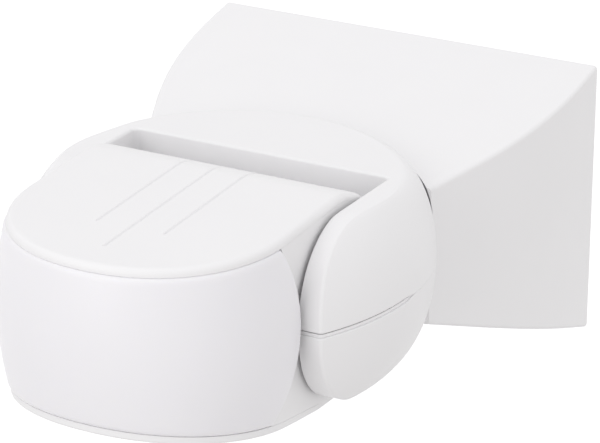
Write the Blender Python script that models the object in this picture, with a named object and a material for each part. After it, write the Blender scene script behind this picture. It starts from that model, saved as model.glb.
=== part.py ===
"""Wall-mounted motion sensor: a wedge-shaped wall base, a yoke that pans in it, and a head that tilts.

Lengths below are millimetres and become metres where each mesh is made. +X is right along the wall,
+Y points into the wall and +Z is up. The origin is the centre of the base's back face.
"""

from math import asin, atan2, cos, pi, radians, sin, sqrt

import bmesh
import bpy
from mathutils import Matrix, Vector

MM = 0.001
GAP = 0.3

# Wall base: a wedge whose sides draw in towards the yoke.
BASE_HALF_WIDTH = 45.0
BASE_HALF_HEIGHT = 30.9
BASE_DEPTH = 58.0
TOP_FALL = 0.157
BOTTOM_RISE = 0.387
SIDE_DRAFT = radians(21)
SIDE_BEND_DEPTH = 26.8
SIDE_BEND_RADIUS = 100.0
BASE_WALL = 3.4
BASE_CORNER = 1.5
RECESS_DEPTH = 4.9

# Back plate in the base's open back.
PLATE_THICKNESS = 3.0
PLATE_HALF_WIDTH = 42.7
PLATE_TOP = 28.2
PLATE_BOTTOM = -26.9
CABLE_Z = -14.0
CABLE_HOLE_RADIUS = 8.0
KEYHOLE_X = 32.0
COVER_SCREW_X = 28.0
COVER_SCREW_Y = -9.0
BOARD_Y = -21.0
BOARD_THICKNESS = 1.6

# Yoke: a puck turned about the pan axis, split at the height of the tilt axis.
AXIS_Z = 10.6
PAN_Y = -82.0
PUCK_RADIUS = 41.3
PUCK_FLAT_RADIUS = 34.0
PUCK_TOP = 17.0
PUCK_BOTTOM = 18.2
CRADLE_GAP = 0.45
CRADLE_WALL = 2.5
CAVITY_RADIUS = 36.8
PAN_LIMIT = 22.0

# The pocket between the yoke's arms.
POCKET_HALF_WIDTH = 28.9
POCKET_BACK_Y = -69.0
YOKE_WALL = 2.2
YOKE_SCREW_X = 22.0
YOKE_SCREW_Y = -61.5

# Swivel neck and the retainer behind the yoke's wall.
NECK_HALF_WIDTH = 3.6
NECK_HALF_HEIGHT = 8.0
RETAINER_RADIUS = 36.5
RETAINER_WALL = 2.1

# Tilt axis, arms and the head's round rear drum.
TILT_Y = -90.0
ARM_RADIUS = 18.4
DRUM_RADIUS = 20.5
HEEL_START = radians(72)
HEEL_END = radians(94)
HEEL_RISE = 1.42
PIN_RADIUS = 4.0
PIN_CLEARANCE = 0.08

# Head: flat cheeks, a half-round front, a level top and an underside that rises to the front.
HEAD_HALF_WIDTH = 28.1
HEAD_FRONT_Y = -109.3
HEAD_WALL = 1.8
CAP_THICKNESS = 1.6
CAP_TAIL_ANGLE = radians(17)
UNDERSIDE_Y = -117.0
UNDERSIDE_Z = -18.2
UNDERSIDE_SLOPE = 0.19
COVER_THICKNESS = 1.6
COVER_FRONT_Y = -110.9
COVER_BACK_Y = -98.0
GROOVE_PITCH = 7.2
GROOVE_FRONTS = {"left": -121.0, "middle": -130.5, "right": -120.8}
GROOVE_DEPTH = 0.45
UNDER_NORMAL = Vector((0, -UNDERSIDE_SLOPE, -1)).normalized()
HEAD_SCREW_X = 24.3
HEAD_SCREW_Y = -103.2
KNOBS = {"time_knob": -11.0, "light_level_knob": 0.0, "range_knob": 11.0}
KNOB_Y = -121.0
KNOB_RADIUS = 3.7
SENSOR_BOARD_Y = -105.6

# Lens: a barrel-shaped band whose ends are round in side view.
LENS_RADIUS = 28.4
LENS_TOP_Y = -109.5
LENS_BOTTOM_Y = -111.0
LENS_BULGE = 2.1
LENS_WALL = 1.2
LENS_EDGE_Y = -141.0
LENS_EDGE_Z = 3.7
LENS_EDGE_RADIUS = 31.25

FINISHES = {
    "white_plastic": ((0.86, 0.86, 0.87), 0.42, 0.0),
    "lens_plastic": ((0.90, 0.91, 0.92), 0.30, 0.0),
    "grey_plastic": ((0.30, 0.31, 0.32), 0.50, 0.0),
    "dark_plastic": ((0.03, 0.03, 0.03), 0.45, 0.0),
    "rubber": ((0.05, 0.05, 0.05), 0.80, 0.0),
    "steel": ((0.62, 0.62, 0.60), 0.30, 1.0),
    "brass": ((0.72, 0.55, 0.26), 0.35, 1.0),
    "board": ((0.05, 0.22, 0.10), 0.50, 0.0),
    "red_glass": ((0.55, 0.03, 0.02), 0.15, 0.0),
}


# ---- helpers ----


def clear_scene():
    for obj in list(bpy.data.objects):
        bpy.data.objects.remove(obj, do_unlink=True)


def finish(name):
    """The named Principled material, made once."""
    if name in bpy.data.materials:
        return bpy.data.materials[name]
    colour, roughness, metallic = FINISHES[name]
    material = bpy.data.materials.new(name)
    material.use_nodes = True
    shader = material.node_tree.nodes["Principled BSDF"]
    shader.inputs["Base Color"].default_value = (*colour, 1.0)
    shader.inputs["Roughness"].default_value = roughness
    shader.inputs["Metallic"].default_value = metallic
    return material


def joint_empty(name, point, parent=None):
    """An empty at a joint, placed in the row's frame."""
    empty = bpy.data.objects.new(name, None)
    bpy.context.scene.collection.objects.link(empty)
    empty.parent = parent
    empty["joint_point"] = point
    start = Vector(parent["joint_point"]) if parent else Vector()
    empty.location = (Vector(point) - start) * MM
    return empty


def add_object(name, bm, material=None, joint=None):
    """Makes an object from bmesh points in millimetres; on a joint its origin is the joint's point."""
    start = Vector(joint["joint_point"]) if joint else Vector()
    bmesh.ops.transform(bm, matrix=Matrix.Scale(MM, 4) @ Matrix.Translation(-start), verts=bm.verts)
    bmesh.ops.recalc_face_normals(bm, faces=bm.faces)
    mesh = bpy.data.meshes.new(name)
    bm.to_mesh(mesh)
    bm.free()
    mesh.shade_smooth()
    mesh.set_sharp_from_angle(angle=radians(30))
    obj = bpy.data.objects.new(name, mesh)
    bpy.context.scene.collection.objects.link(obj)
    obj.parent = joint
    if material:
        mesh.materials.append(finish(material))
    else:
        obj.hide_render = True
        obj.display_type = "WIRE"
    return obj


def combine(obj, tool, operation="DIFFERENCE"):
    modifier = obj.modifiers.new(tool.name, "BOOLEAN")
    modifier.operation = operation
    modifier.object = tool
    return obj


def box(low, high):
    bm = bmesh.new()
    bmesh.ops.create_cube(bm, size=1)
    size = Vector(high) - Vector(low)
    middle = (Vector(high) + Vector(low)) / 2
    bmesh.ops.transform(bm, matrix=Matrix.Translation(middle) @ Matrix.Diagonal((*size, 1)), verts=bm.verts)
    return bm


def prism(outline, low, high, axis="Z"):
    """A closed outline extruded along an axis. It is (x, y) for Z, (y, z) for X and (x, z) for Y."""
    place = {
        "X": lambda a, b, c: (c, a, b),
        "Y": lambda a, b, c: (a, c, b),
        "Z": lambda a, b, c: (a, b, c),
    }[axis]
    bm = bmesh.new()
    ends = [[bm.verts.new(place(a, b, level)) for a, b in outline] for level in (low, high)]
    for ring in ends:
        bm.faces.new(ring)
    bmesh.ops.bridge_loops(bm, edges=[edge for edge in bm.edges])
    return bm


def rod(start, end, radius, segments=20):
    """A round bar from start to end."""
    bm = bmesh.new()
    line = Vector(end) - Vector(start)
    turn = line.to_track_quat("Z", "Y").to_matrix().to_4x4()
    place = Matrix.Translation((Vector(start) + Vector(end)) / 2) @ turn
    bmesh.ops.create_cone(
        bm, cap_ends=True, segments=segments, radius1=radius, radius2=radius, depth=line.length, matrix=place
    )
    return bm


def turned(profile, start, direction, segments=24):
    """A profile of (radius, distance) turned about the line from start along direction; radius 0 is on it."""
    bm = bmesh.new()
    rings = []
    for radius, height in profile:
        if radius == 0:
            rings.append([bm.verts.new((0, 0, height))])
            continue
        angles = [2 * pi * i / segments for i in range(segments)]
        rings.append([bm.verts.new((radius * cos(a), radius * sin(a), height)) for a in angles])
    for one, two in zip(rings, rings[1:] + rings[:1]):
        for i in range(segments):
            j = (i + 1) % segments
            corners = [one[i % len(one)], one[j % len(one)], two[j % len(two)], two[i % len(two)]]
            corners = list(dict.fromkeys(corners))
            if len(corners) > 2:
                bm.faces.new(corners)
    turn = Vector(direction).to_track_quat("Z", "Y").to_matrix().to_4x4()
    bmesh.ops.transform(bm, matrix=Matrix.Translation(start) @ turn, verts=bm.verts)
    return bm


def arc(centre, radius, start, end, steps):
    """Points on an arc, both ends included, angles in radians."""
    angles = [start + (end - start) * i / steps for i in range(steps + 1)]
    return [(centre[0] + radius * cos(a), centre[1] + radius * sin(a)) for a in angles]


def rounded_rectangle(left, right, low, high, radius, steps=3):
    corners = [(right, high, 0), (left, high, 1), (left, low, 2), (right, low, 3)]
    points = []
    for x, z, quarter in corners:
        centre = (x - radius if x == right else x + radius, z - radius if z == high else z + radius)
        points += arc(centre, radius, quarter * pi / 2, (quarter + 1) * pi / 2, steps)
    return points


def screw(name, seat, direction, size, length, joint=None, metal="steel"):
    """A pan-head screw. Seat is the point under its head; size is head radius, head height, shank radius."""
    head_radius, head_height, shank_radius = size
    profile = [
        (0, -head_height),
        (head_radius * 0.8, -head_height),
        (head_radius, -head_height * 0.6),
        (head_radius, 0),
        (shank_radius, 0),
        (shank_radius, length - shank_radius),
        (0, length),
    ]
    return add_object(name, turned(profile, seat, direction, 16), metal, joint)


# ---- wall base ----


def side_inset(depth):
    """How far each side of the base has drawn in at this depth: straight, then an arc, then the draft."""
    tangent = SIDE_BEND_RADIUS * sin(SIDE_DRAFT / 2) / cos(SIDE_DRAFT / 2)
    start = SIDE_BEND_DEPTH - tangent
    end = SIDE_BEND_DEPTH + tangent * cos(SIDE_DRAFT)
    if depth <= start:
        return 0.0
    if depth < end:
        return SIDE_BEND_RADIUS - sqrt(SIDE_BEND_RADIUS**2 - (depth - start) ** 2)
    return (depth - SIDE_BEND_DEPTH) * sin(SIDE_DRAFT) / cos(SIDE_DRAFT)


def wedge(wall, first, last, corner):
    """The base's outer form drawn in by a wall thickness, as rounded rectangles joined along Y."""
    count = 14
    bm = bmesh.new()
    rings = []
    for i in range(count + 1):
        depth = first + (last - first) * i / count
        half = BASE_HALF_WIDTH - side_inset(depth) - wall
        high = BASE_HALF_HEIGHT - TOP_FALL * depth - wall
        low = -BASE_HALF_HEIGHT + BOTTOM_RISE * depth + wall
        outline = rounded_rectangle(-half, half, low, high, corner)
        rings.append([bm.verts.new((x, -depth, z)) for x, z in outline])
    bm.faces.new(rings[0])
    bm.faces.new(rings[-1])
    for one, two in zip(rings, rings[1:]):
        for i in range(len(one)):
            j = (i + 1) % len(one)
            bm.faces.new((one[i], one[j], two[j], two[i]))
    return bm


def puck_profile(low, high, gap=0.0, steps=6):
    """Radius and height of the yoke's bulging side between two heights above the tilt axis."""
    bulge = PUCK_RADIUS - PUCK_FLAT_RADIUS
    tallest = {1: PUCK_TOP + gap, -1: PUCK_BOTTOM + gap}
    angles = [asin(max(-1, min(1, z / tallest[1 if z > 0 else -1]))) for z in (low, high)]
    points = []
    for i in range(steps + 1):
        angle = angles[0] + (angles[1] - angles[0]) * i / steps
        height = sin(angle) * tallest[1 if angle > 0 else -1]
        points.append((PUCK_FLAT_RADIUS + gap + bulge * cos(angle), AXIS_Z + height))
    return [(0, points[0][1]), *points, (0, points[-1][1])]


def puck(low, high, gap=0.0, steps=6):
    return turned(puck_profile(low, high, gap, steps), (0, PAN_Y, 0), (0, 0, 1), 64)


def make_base():
    housing = add_object("base_housing", wedge(0, 0, BASE_DEPTH, BASE_CORNER), "white_plastic")
    seat = puck(-PUCK_BOTTOM - CRADLE_GAP, PUCK_TOP + CRADLE_GAP, CRADLE_GAP, 12)
    combine(housing, add_object("cut_cradle", seat))
    hollow = add_object("cut_base_hollow", wedge(BASE_WALL, -1, BASE_DEPTH - 8, 1.0))
    cradle_radius = PUCK_RADIUS + CRADLE_GAP + CRADLE_WALL
    cradle_wall = rod((0, PAN_Y, -60), (0, PAN_Y, 60), cradle_radius, 64)
    combine(hollow, add_object("keep_cradle_wall", cradle_wall))
    combine(housing, hollow)
    half = PLATE_HALF_WIDTH + GAP
    recess = box((-half, -RECESS_DEPTH, PLATE_BOTTOM - GAP), (half, 1, PLATE_TOP + GAP))
    combine(housing, add_object("cut_plate_recess", recess))
    window = box(
        (-NECK_HALF_WIDTH - GAP, -44, AXIS_Z - NECK_HALF_HEIGHT - GAP),
        (NECK_HALF_WIDTH + GAP, -30, AXIS_Z + NECK_HALF_HEIGHT + GAP),
    )
    combine(housing, add_object("cut_neck_window", window))
    for side in (-1, 1):
        x, y = side * COVER_SCREW_X, COVER_SCREW_Y
        boss = rod((x, y, -25.7), (x, y, -21.6), 4.0)
        combine(housing, add_object(f"boss_{side}", boss), "UNION")
        combine(housing, add_object(f"cut_hole_{side}", rod((x, y, -40), (x, y, -10), 1.8)))
        combine(housing, add_object(f"cut_counterbore_{side}", rod((x, y, -40), (x, y, -24.6), 3.1)))


def make_back_plate():
    plate = add_object(
        "back_plate",
        box((-PLATE_HALF_WIDTH, -PLATE_THICKNESS, PLATE_BOTTOM), (PLATE_HALF_WIDTH, 0, PLATE_TOP)),
        "white_plastic",
    )
    combine(plate, add_object("cut_cable", rod((0, -9, CABLE_Z), (0, 9, CABLE_Z), CABLE_HOLE_RADIUS)))
    for side in (-1, 1):
        x, y = side * COVER_SCREW_X, COVER_SCREW_Y
        lug = box((x - 4, y - 4, -21.3), (x + 4, -1.5, -16.8))
        combine(plate, add_object(f"lug_{side}", lug), "UNION")
        combine(plate, add_object(f"cut_lug_{side}", rod((x, y, -30), (x, y, -10), 1.7)))
        slot = arc((side * KEYHOLE_X, 8), 2.4, 0, pi, 8) + arc((side * KEYHOLE_X, 1), 2.4, pi, 2 * pi, 8)
        combine(plate, add_object(f"cut_slot_{side}", prism(slot, -9, 9, "Y")))
        screw_name = "cover_screw_right" if side > 0 else "cover_screw_left"
        screw(screw_name, (x, y, -24.9), (0, 0, 1), (2.7, 1.5, 1.35), 8.5)
    front = -PLATE_THICKNESS - GAP
    ring = box((-PLATE_HALF_WIDTH, front - 1.2, PLATE_BOTTOM), (PLATE_HALF_WIDTH, front, PLATE_TOP))
    gasket = add_object("base_gasket", ring, "rubber")
    combine(gasket, add_object("cut_gasket", box((-40.4, -20, -24.5), (40.4, 10, 25.8))))
    ring = [(5.0, 0), (7.0, 0), (7.0, 1.5), (7.7, 1.5), (7.7, 4.3), (9.2, 4.3), (9.2, 5.6), (5.0, 5.6)]
    ring = [(radius, distance - 0.9) for radius, distance in ring]
    add_object("cable_grommet", turned(ring, (0, -0.9, CABLE_Z), (0, -1, 0)), "rubber")


def make_wiring():
    """Terminal block on the plate, and the mains board with its large parts in front of it."""
    front = -PLATE_THICKNESS - GAP
    block = add_object("terminal_block", box((-13, -15.5, 0), (13, front, 12)), "grey_plastic")
    for i, name in enumerate(("left", "middle", "right")):
        x = (i - 1) * 8.4
        combine(block, add_object(f"cut_wire_{name}", rod((x, -11, -5), (x, -11, 9), 1.7, 12)))
        combine(block, add_object(f"cut_terminal_{name}", rod((x, -20, 6), (x, -7, 6), 2.3, 16)))
        screw(f"terminal_screw_{name}", (x, -13.6, 6), (0, 1, 0), (2.0, 1.2, 1.3), 5.5, metal="brass")
    add_object("power_board", box((-30, BOARD_Y - BOARD_THICKNESS, -12), (30, BOARD_Y, 20)), "board")
    face = BOARD_Y - BOARD_THICKNESS - GAP
    add_object("relay", box((-29, face - 10, -9), (-11, face, 5)), "dark_plastic")
    for name, radius, length, start, direction, look in (
        ("capacitor", 5.2, 11.5, (19, face, 12), (0, -1, 0), "grey_plastic"),
        ("surge_disc", 4.5, 3.6, (18, face - 5, -6.8), (0, 0, 1), "red_glass"),
        ("fuse", 2.4, 9, (-26, face - 3, 13), (1, 0, 0), "white_plastic"),
    ):
        can = [(0, 0), (radius, 0), (radius, length), (0, length)]
        add_object(name, turned(can, start, direction), look)


def make_neck():
    """The neck carries the yoke: its flange sits inside the base and the retainer inside the yoke's wall."""
    end = PAN_Y + RETAINER_RADIUS + GAP
    z_low, z_high = AXIS_Z - NECK_HALF_HEIGHT, AXIS_Z + NECK_HALF_HEIGHT
    stem = box((-NECK_HALF_WIDTH, end, z_low), (NECK_HALF_WIDTH, -36, z_high))
    neck = add_object("swivel_neck", stem, "grey_plastic")
    flange = box((-8, -37.3, z_low - 3.5), (8, -35.1, z_high + 3))
    combine(neck, add_object("neck_flange", flange), "UNION")
    channel = box((-2.1, -60, AXIS_Z - 3.9), (2.1, -20, AXIS_Z + 3.9))
    combine(neck, add_object("cut_neck_channel", channel))
    half = radians(14)
    plate = arc((0, PAN_Y), RETAINER_RADIUS, pi / 2 - half, pi / 2 + half, 10)
    plate += arc((0, PAN_Y), RETAINER_RADIUS - RETAINER_WALL, pi / 2 + half, pi / 2 - half, 10)
    retainer = add_object("swivel_retainer", prism(plate, AXIS_Z - 12, AXIS_Z + 12), "grey_plastic")
    combine(retainer, bpy.data.objects["cut_neck_channel"])
    seat_y = PAN_Y + RETAINER_RADIUS - RETAINER_WALL - GAP
    for name, offset in (("lower", -6.1), ("upper", 6.1)):
        z = AXIS_Z + offset
        bore = add_object(f"cut_retainer_{name}", rod((0, -60, z), (0, -38.6, z), 1.35, 20))
        combine(neck, bore)
        combine(retainer, bore)
        screw(f"retainer_screw_{name}", (0, seat_y, z), (0, 1, 0), (2.0, 1.4, 1.05), 8)


# ---- yoke ----


def arm_envelope(radius, half_width=60):
    """Everything behind the tilt axis, and a round end of this radius in front of it."""
    outline = [(-20, 24 + AXIS_Z), (TILT_Y, 24 + AXIS_Z)]
    outline += arc((TILT_Y, AXIS_Z), radius, pi / 2, 3 * pi / 2, 24)
    outline += [(TILT_Y, AXIS_Z - 24), (-20, AXIS_Z - 24)]
    return prism(outline, -half_width, half_width, "X")


def pocket_outline(half_width, back, corner):
    """Plan of the pocket between the arms, open to the front."""
    right = arc((half_width - corner, back - corner), corner, 0, pi / 2, 4)
    left = arc((corner - half_width, back - corner), corner, pi / 2, pi, 4)
    return right + left + [(-half_width, -140), (half_width, -140)]


def make_yoke(joint):
    envelope = add_object("trim_arms", arm_envelope(ARM_RADIUS))
    pocket = prism(pocket_outline(POCKET_HALF_WIDTH, POCKET_BACK_Y, 1.4), -40, 60)
    pocket = add_object("cut_pocket", pocket)
    hollow = rod((0, PAN_Y, AXIS_Z - 15.4), (0, PAN_Y, AXIS_Z + 14), CAVITY_RADIUS, 64)
    hollow = add_object("cut_yoke_hollow", hollow)
    combine(hollow, add_object("trim_yoke_hollow", arm_envelope(ARM_RADIUS - YOKE_WALL, 50)), "INTERSECT")
    inner = pocket_outline(POCKET_HALF_WIDTH + YOKE_WALL, POCKET_BACK_Y + YOKE_WALL, 2.0)
    combine(hollow, add_object("keep_pocket_wall", prism(inner, -50, 70)))
    reach = asin(NECK_HALF_WIDTH / CAVITY_RADIUS) + radians(PAN_LIMIT + 0.6)
    slot = arc((0, PAN_Y), 48, pi / 2 - reach, pi / 2 + reach, 16)
    slot += arc((0, PAN_Y), 33, pi / 2 + reach, pi / 2 - reach, 16)
    slot = prism(slot, AXIS_Z - NECK_HALF_HEIGHT - GAP, AXIS_Z + NECK_HALF_HEIGHT + GAP)
    slot = add_object("cut_neck_slot", slot)
    pins = rod((-33.5, TILT_Y, AXIS_Z), (33.5, TILT_Y, AXIS_Z), PIN_RADIUS + PIN_CLEARANCE, 32)
    pins = add_object("cut_pin_holes", pins)
    upper = add_object("yoke_upper_shell", puck(GAP / 2, PUCK_TOP), "white_plastic", joint)
    lower = add_object("yoke_lower_shell", puck(-PUCK_BOTTOM, -GAP / 2), "white_plastic", joint)
    for shell in (upper, lower):
        combine(shell, envelope, "INTERSECT")
        combine(shell, pocket)
        combine(shell, hollow)
        combine(shell, slot)
        combine(shell, pins)
    for side in (-1, 1):
        x, y = side * YOKE_SCREW_X, YOKE_SCREW_Y
        name = "right" if side > 0 else "left"
        top_boss = rod((x, y, AXIS_Z + 0.6), (x, y, AXIS_Z + 15), 3.6)
        combine(upper, add_object(f"top_boss_{name}", top_boss), "UNION")
        low_boss = rod((x, y, AXIS_Z - 16.4), (x, y, AXIS_Z - 0.6), 4.2)
        combine(lower, add_object(f"low_boss_{name}", low_boss), "UNION")
        bore = add_object(f"cut_yoke_screw_{name}", rod((x, y, -20), (x, y, AXIS_Z + 10), 1.7, 24))
        combine(upper, bore)
        combine(lower, bore)
        counterbore = rod((x, y, -20), (x, y, AXIS_Z - 14.5), 3.1)
        combine(lower, add_object(f"cut_yoke_head_{name}", counterbore))
        seat = (x, y, AXIS_Z - 14.8)
        screw(f"yoke_screw_{name}", seat, (0, 0, 1), (2.7, 1.8, 1.35), 23, joint)


# ---- head ----


def underside(y):
    return AXIS_Z + UNDERSIDE_Z - UNDERSIDE_SLOPE * (y - UNDERSIDE_Y)


def head_plan(half_width, centre_y, back=-60.0, steps=32):
    """Plan of the head: straight cheeks and a half-round front."""
    return arc((0, centre_y), half_width, pi, 2 * pi, steps) + [(half_width, back), (-half_width, back)]


def seam(y):
    """Height of the joint between the head's body and its bottom cover."""
    return underside(y) + COVER_THICKNESS


def heel_arc(steps):
    """The drum swells below, between the heel's angles, until it is level with the underside."""
    points = []
    for i in range(1, steps + 1):
        share = i / steps
        angle = -HEEL_START - (HEEL_END - HEEL_START) * share
        radius = DRUM_RADIUS + HEEL_RISE * share * share * (3 - 2 * share)
        points.append((TILT_Y + radius * cos(angle), AXIS_Z + radius * sin(angle)))
    return points


def make_head_housing(joint):
    axis = (TILT_Y, AXIS_Z)
    under_cap = DRUM_RADIUS - CAP_THICKNESS - GAP
    tail = CAP_TAIL_ANGLE - 1.2 * GAP / DRUM_RADIUS
    cover_end = COVER_BACK_Y + GAP
    side = [(-150, AXIS_Z + under_cap)]
    side += arc(axis, under_cap, pi / 2, tail, 10)
    side += arc(axis, DRUM_RADIUS, tail, -HEEL_START, 12) + heel_arc(5)
    side += [(cover_end, underside(cover_end)), (cover_end, seam(cover_end) + GAP), (-150, seam(-150) + GAP)]
    plan = prism(head_plan(HEAD_HALF_WIDTH, HEAD_FRONT_Y), -40, 60)
    housing = add_object("head_housing", plan, "white_plastic", joint)
    combine(housing, add_object("trim_head_side", prism(side, -60, 60, "X")), "INTERSECT")
    inner_radius = under_cap - HEAD_WALL
    inner = [(-150, 45), (-94, 45), (-94, AXIS_Z + sqrt(inner_radius**2 - (-94 - TILT_Y) ** 2))]
    start = atan2(inner[-1][1] - AXIS_Z, -94 - TILT_Y)
    end = atan2(-sqrt(inner_radius**2 - 100), -10.0)
    inner += arc(axis, inner_radius, start, end, 20)[1:]
    inner += [(-100, -30), (-150, -30)]
    hollow = prism(head_plan(HEAD_HALF_WIDTH - HEAD_WALL, HEAD_FRONT_Y, -40), -45, 65)
    hollow = add_object("cut_head_hollow", hollow)
    combine(hollow, add_object("trim_head_hollow", prism(inner, -50, 50, "X")), "INTERSECT")
    combine(housing, hollow)
    z = AXIS_Z + LENS_EDGE_Z
    lens_end = rod((-50, LENS_EDGE_Y, z), (50, LENS_EDGE_Y, z), LENS_EDGE_RADIUS + GAP, 72)
    combine(housing, add_object("cut_lens_ends", lens_end))
    pins = rod((-40, TILT_Y, AXIS_Z), (40, TILT_Y, AXIS_Z), PIN_RADIUS + GAP, 24)
    combine(housing, add_object("cut_cheek_holes", pins))
    for side_sign, name in ((-1, "left"), (1, "right")):
        foot = Vector((side_sign * HEAD_SCREW_X, HEAD_SCREW_Y, underside(HEAD_SCREW_Y)))
        up = -UNDER_NORMAL
        boss = rod(foot + up * (COVER_THICKNESS + 2 * GAP), foot + up * 15, 2.9)
        combine(housing, add_object(f"head_boss_{name}", boss), "UNION")
        combine(housing, add_object(f"cut_head_boss_{name}", rod(foot, foot + up * 12, 1.3, 20)))


def make_cap(joint):
    axis = (TILT_Y, AXIS_Z)
    inner = DRUM_RADIUS - CAP_THICKNESS
    side = [(-150, AXIS_Z + inner), (-150, AXIS_Z + DRUM_RADIUS)]
    side += arc(axis, DRUM_RADIUS, pi / 2, CAP_TAIL_ANGLE, 12)
    side += arc(axis, inner, CAP_TAIL_ANGLE, pi / 2, 12)
    cap = add_object("head_top_cap", prism(side, -40, 40, "X"), "white_plastic", joint)
    plan = prism(head_plan(HEAD_HALF_WIDTH, HEAD_FRONT_Y, -50), -60, 60)
    combine(cap, add_object("trim_cap_plan", plan), "INTERSECT")
    floor = AXIS_Z + DRUM_RADIUS - GROOVE_DEPTH
    for i, (name, front) in enumerate(GROOVE_FRONTS.items()):
        x = (i - 1) * GROOVE_PITCH
        groove = box((x - 0.3, front, floor), (x + 0.3, TILT_Y + 6, floor + 5))
        combine(cap, add_object(f"cut_groove_{name}", groove))


def make_bottom_cover(joint):
    side = [(-150, underside(-150)), (COVER_BACK_Y, underside(COVER_BACK_Y))]
    side += [(COVER_BACK_Y, seam(COVER_BACK_Y)), (-150, seam(-150))]
    cover = add_object("head_bottom_cover", prism(side, -40, 40, "X"), "white_plastic", joint)
    plan = prism(head_plan(HEAD_HALF_WIDTH, COVER_FRONT_Y, -50), -60, 60)
    combine(cover, add_object("trim_cover_plan", plan), "INTERSECT")
    for side_sign, name in ((-1, "left"), (1, "right")):
        foot = Vector((side_sign * HEAD_SCREW_X, HEAD_SCREW_Y, underside(HEAD_SCREW_Y)))
        hole = rod(foot + UNDER_NORMAL * 5, foot - UNDER_NORMAL * 5, 1.4, 20)
        combine(cover, add_object(f"cut_cover_hole_{name}", hole))
        recess = rod(foot + UNDER_NORMAL * 5, foot - UNDER_NORMAL * 0.9, 2.6, 24)
        combine(cover, add_object(f"cut_cover_recess_{name}", recess))
        seat = foot - UNDER_NORMAL * 0.6
        screw(f"head_screw_{name}", seat, -UNDER_NORMAL, (2.3, 1.1, 1.0), 10, joint)
    for name, x in KNOBS.items():
        centre = Vector((x, KNOB_Y, underside(KNOB_Y)))
        hole = rod(centre + UNDER_NORMAL * 6, centre - UNDER_NORMAL * 6, KNOB_RADIUS + GAP, 24)
        combine(cover, add_object(f"cut_{name}", hole))
        knob_joint = joint_empty(f"{name}_axis", tuple(centre), joint)
        profile = [
            (0, -1.3),
            (KNOB_RADIUS - 0.4, -1.3),
            (KNOB_RADIUS, -0.9),
            (KNOB_RADIUS, 2.6),
            (1.5, 2.6),
            (1.5, 7.5),
            (0, 7.5),
        ]
        knob = add_object(name, turned(profile, centre, -UNDER_NORMAL), "grey_plastic", knob_joint)
        slot = box((x - 0.5, KNOB_Y - 2.6, -40), (x + 0.5, KNOB_Y + 2.6, underside(KNOB_Y) - 0.6))
        combine(knob, add_object(f"cut_slot_{name}", slot))


def lens_surface(height, inset, steps):
    """One row of the lens: height 0 is its lower edge and 1 its upper edge; its ends lie on the end arc."""
    centre_y = LENS_BOTTOM_Y + (LENS_TOP_Y - LENS_BOTTOM_Y) * height
    radius = LENS_RADIUS + 4 * LENS_BULGE * height * (1 - height)
    top = AXIS_Z + DRUM_RADIUS - CAP_THICKNESS - GAP

    def level(y):
        return (seam(y) + GAP) * (1 - height) + top * height

    reach = radians(90)
    for _ in range(8):
        y = centre_y - radius * cos(reach)
        offset = level(y) - AXIS_Z - LENS_EDGE_Z
        end_y = LENS_EDGE_Y + sqrt(LENS_EDGE_RADIUS**2 - offset**2)
        reach = pi / 2 + asin((end_y - centre_y) / radius)
    points = []
    for i in range(steps + 1):
        angle = -reach + 2 * reach * i / steps
        y = centre_y - (radius - inset) * cos(angle)
        points.append(((radius - inset) * sin(angle), y, level(y)))
    return points


def make_lens(joint):
    rows, steps = 6, 28
    bm = bmesh.new()
    grids = []
    for inset in (0.0, LENS_WALL):
        rings = [lens_surface(row / rows, inset, steps) for row in range(rows + 1)]
        grids.append([[bm.verts.new(point) for point in ring] for ring in rings])
    outer, inner = grids
    for row in range(rows):
        for i in range(steps):
            for grid in grids:
                bm.faces.new((grid[row][i], grid[row][i + 1], grid[row + 1][i + 1], grid[row + 1][i]))
        for i in (0, steps):
            bm.faces.new((outer[row][i], outer[row + 1][i], inner[row + 1][i], inner[row][i]))
    for i in range(steps):
        for row in (0, rows):
            bm.faces.new((outer[row][i], outer[row][i + 1], inner[row][i + 1], inner[row][i]))
    add_object("lens", bm, "lens_plastic", joint)


def make_sensing(joint):
    """The board across the head behind the lens, with the sensing element at the lens's centre."""
    face = SENSOR_BOARD_Y - BOARD_THICKNESS
    board = box((-20.5, face, AXIS_Z - 14), (20.5, SENSOR_BOARD_Y, AXIS_Z + 15))
    add_object("sensor_board", board, "board", joint)
    start = face - GAP
    can = [(0, 0), (4.6, 0), (4.6, 0.6), (4.1, 0.6), (4.1, 4.0), (3.8, 4.2), (0, 4.2)]
    add_object("heat_sensor", turned(can, (0, start, AXIS_Z + 2), (0, -1, 0)), "steel", joint)
    window = box((-2.5, start - 5.0, AXIS_Z), (2.5, start - 4.5, AXIS_Z + 4))
    add_object("sensor_window", window, "dark_plastic", joint)
    lamp = [(0, 0), (1.9, 0), (1.9, 0.8), (1.5, 0.8), (1.5, 3.0), (1.2, 4.0), (0.6, 4.5), (0, 4.6)]
    add_object("indicator_lamp", turned(lamp, (11, start, AXIS_Z - 9), (0, -1, 0), 24), "red_glass", joint)
    cell = [(0, 0), (2.5, 0), (2.5, 1.8), (0, 1.8)]
    add_object("light_cell", turned(cell, (-11, start, AXIS_Z - 9), (0, -1, 0), 24), "brass", joint)


def make_pivots(joint):
    """Shouldered pins fixed in the cheeks, with a friction washer inside each arm."""
    for side, name in ((-1, "left"), (1, "right")):
        pin = [(0, 24.6), (5.6, 24.6), (5.6, 26.0), (PIN_RADIUS, 26.0)]
        pin += [(PIN_RADIUS, 32.6), (5.4, 32.6), (5.4, 34.0), (0, 34.0)]
        centre = (0, TILT_Y, AXIS_Z)
        add_object(f"tilt_pin_{name}", turned(pin, centre, (side, 0, 0), 32), "steel", joint)
        washer = [(4.4, 31.4), (6.2, 31.4), (6.2, 32.3), (4.4, 32.3)]
        add_object(f"tilt_washer_{name}", turned(washer, centre, (side, 0, 0), 24), "rubber", joint)


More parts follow.
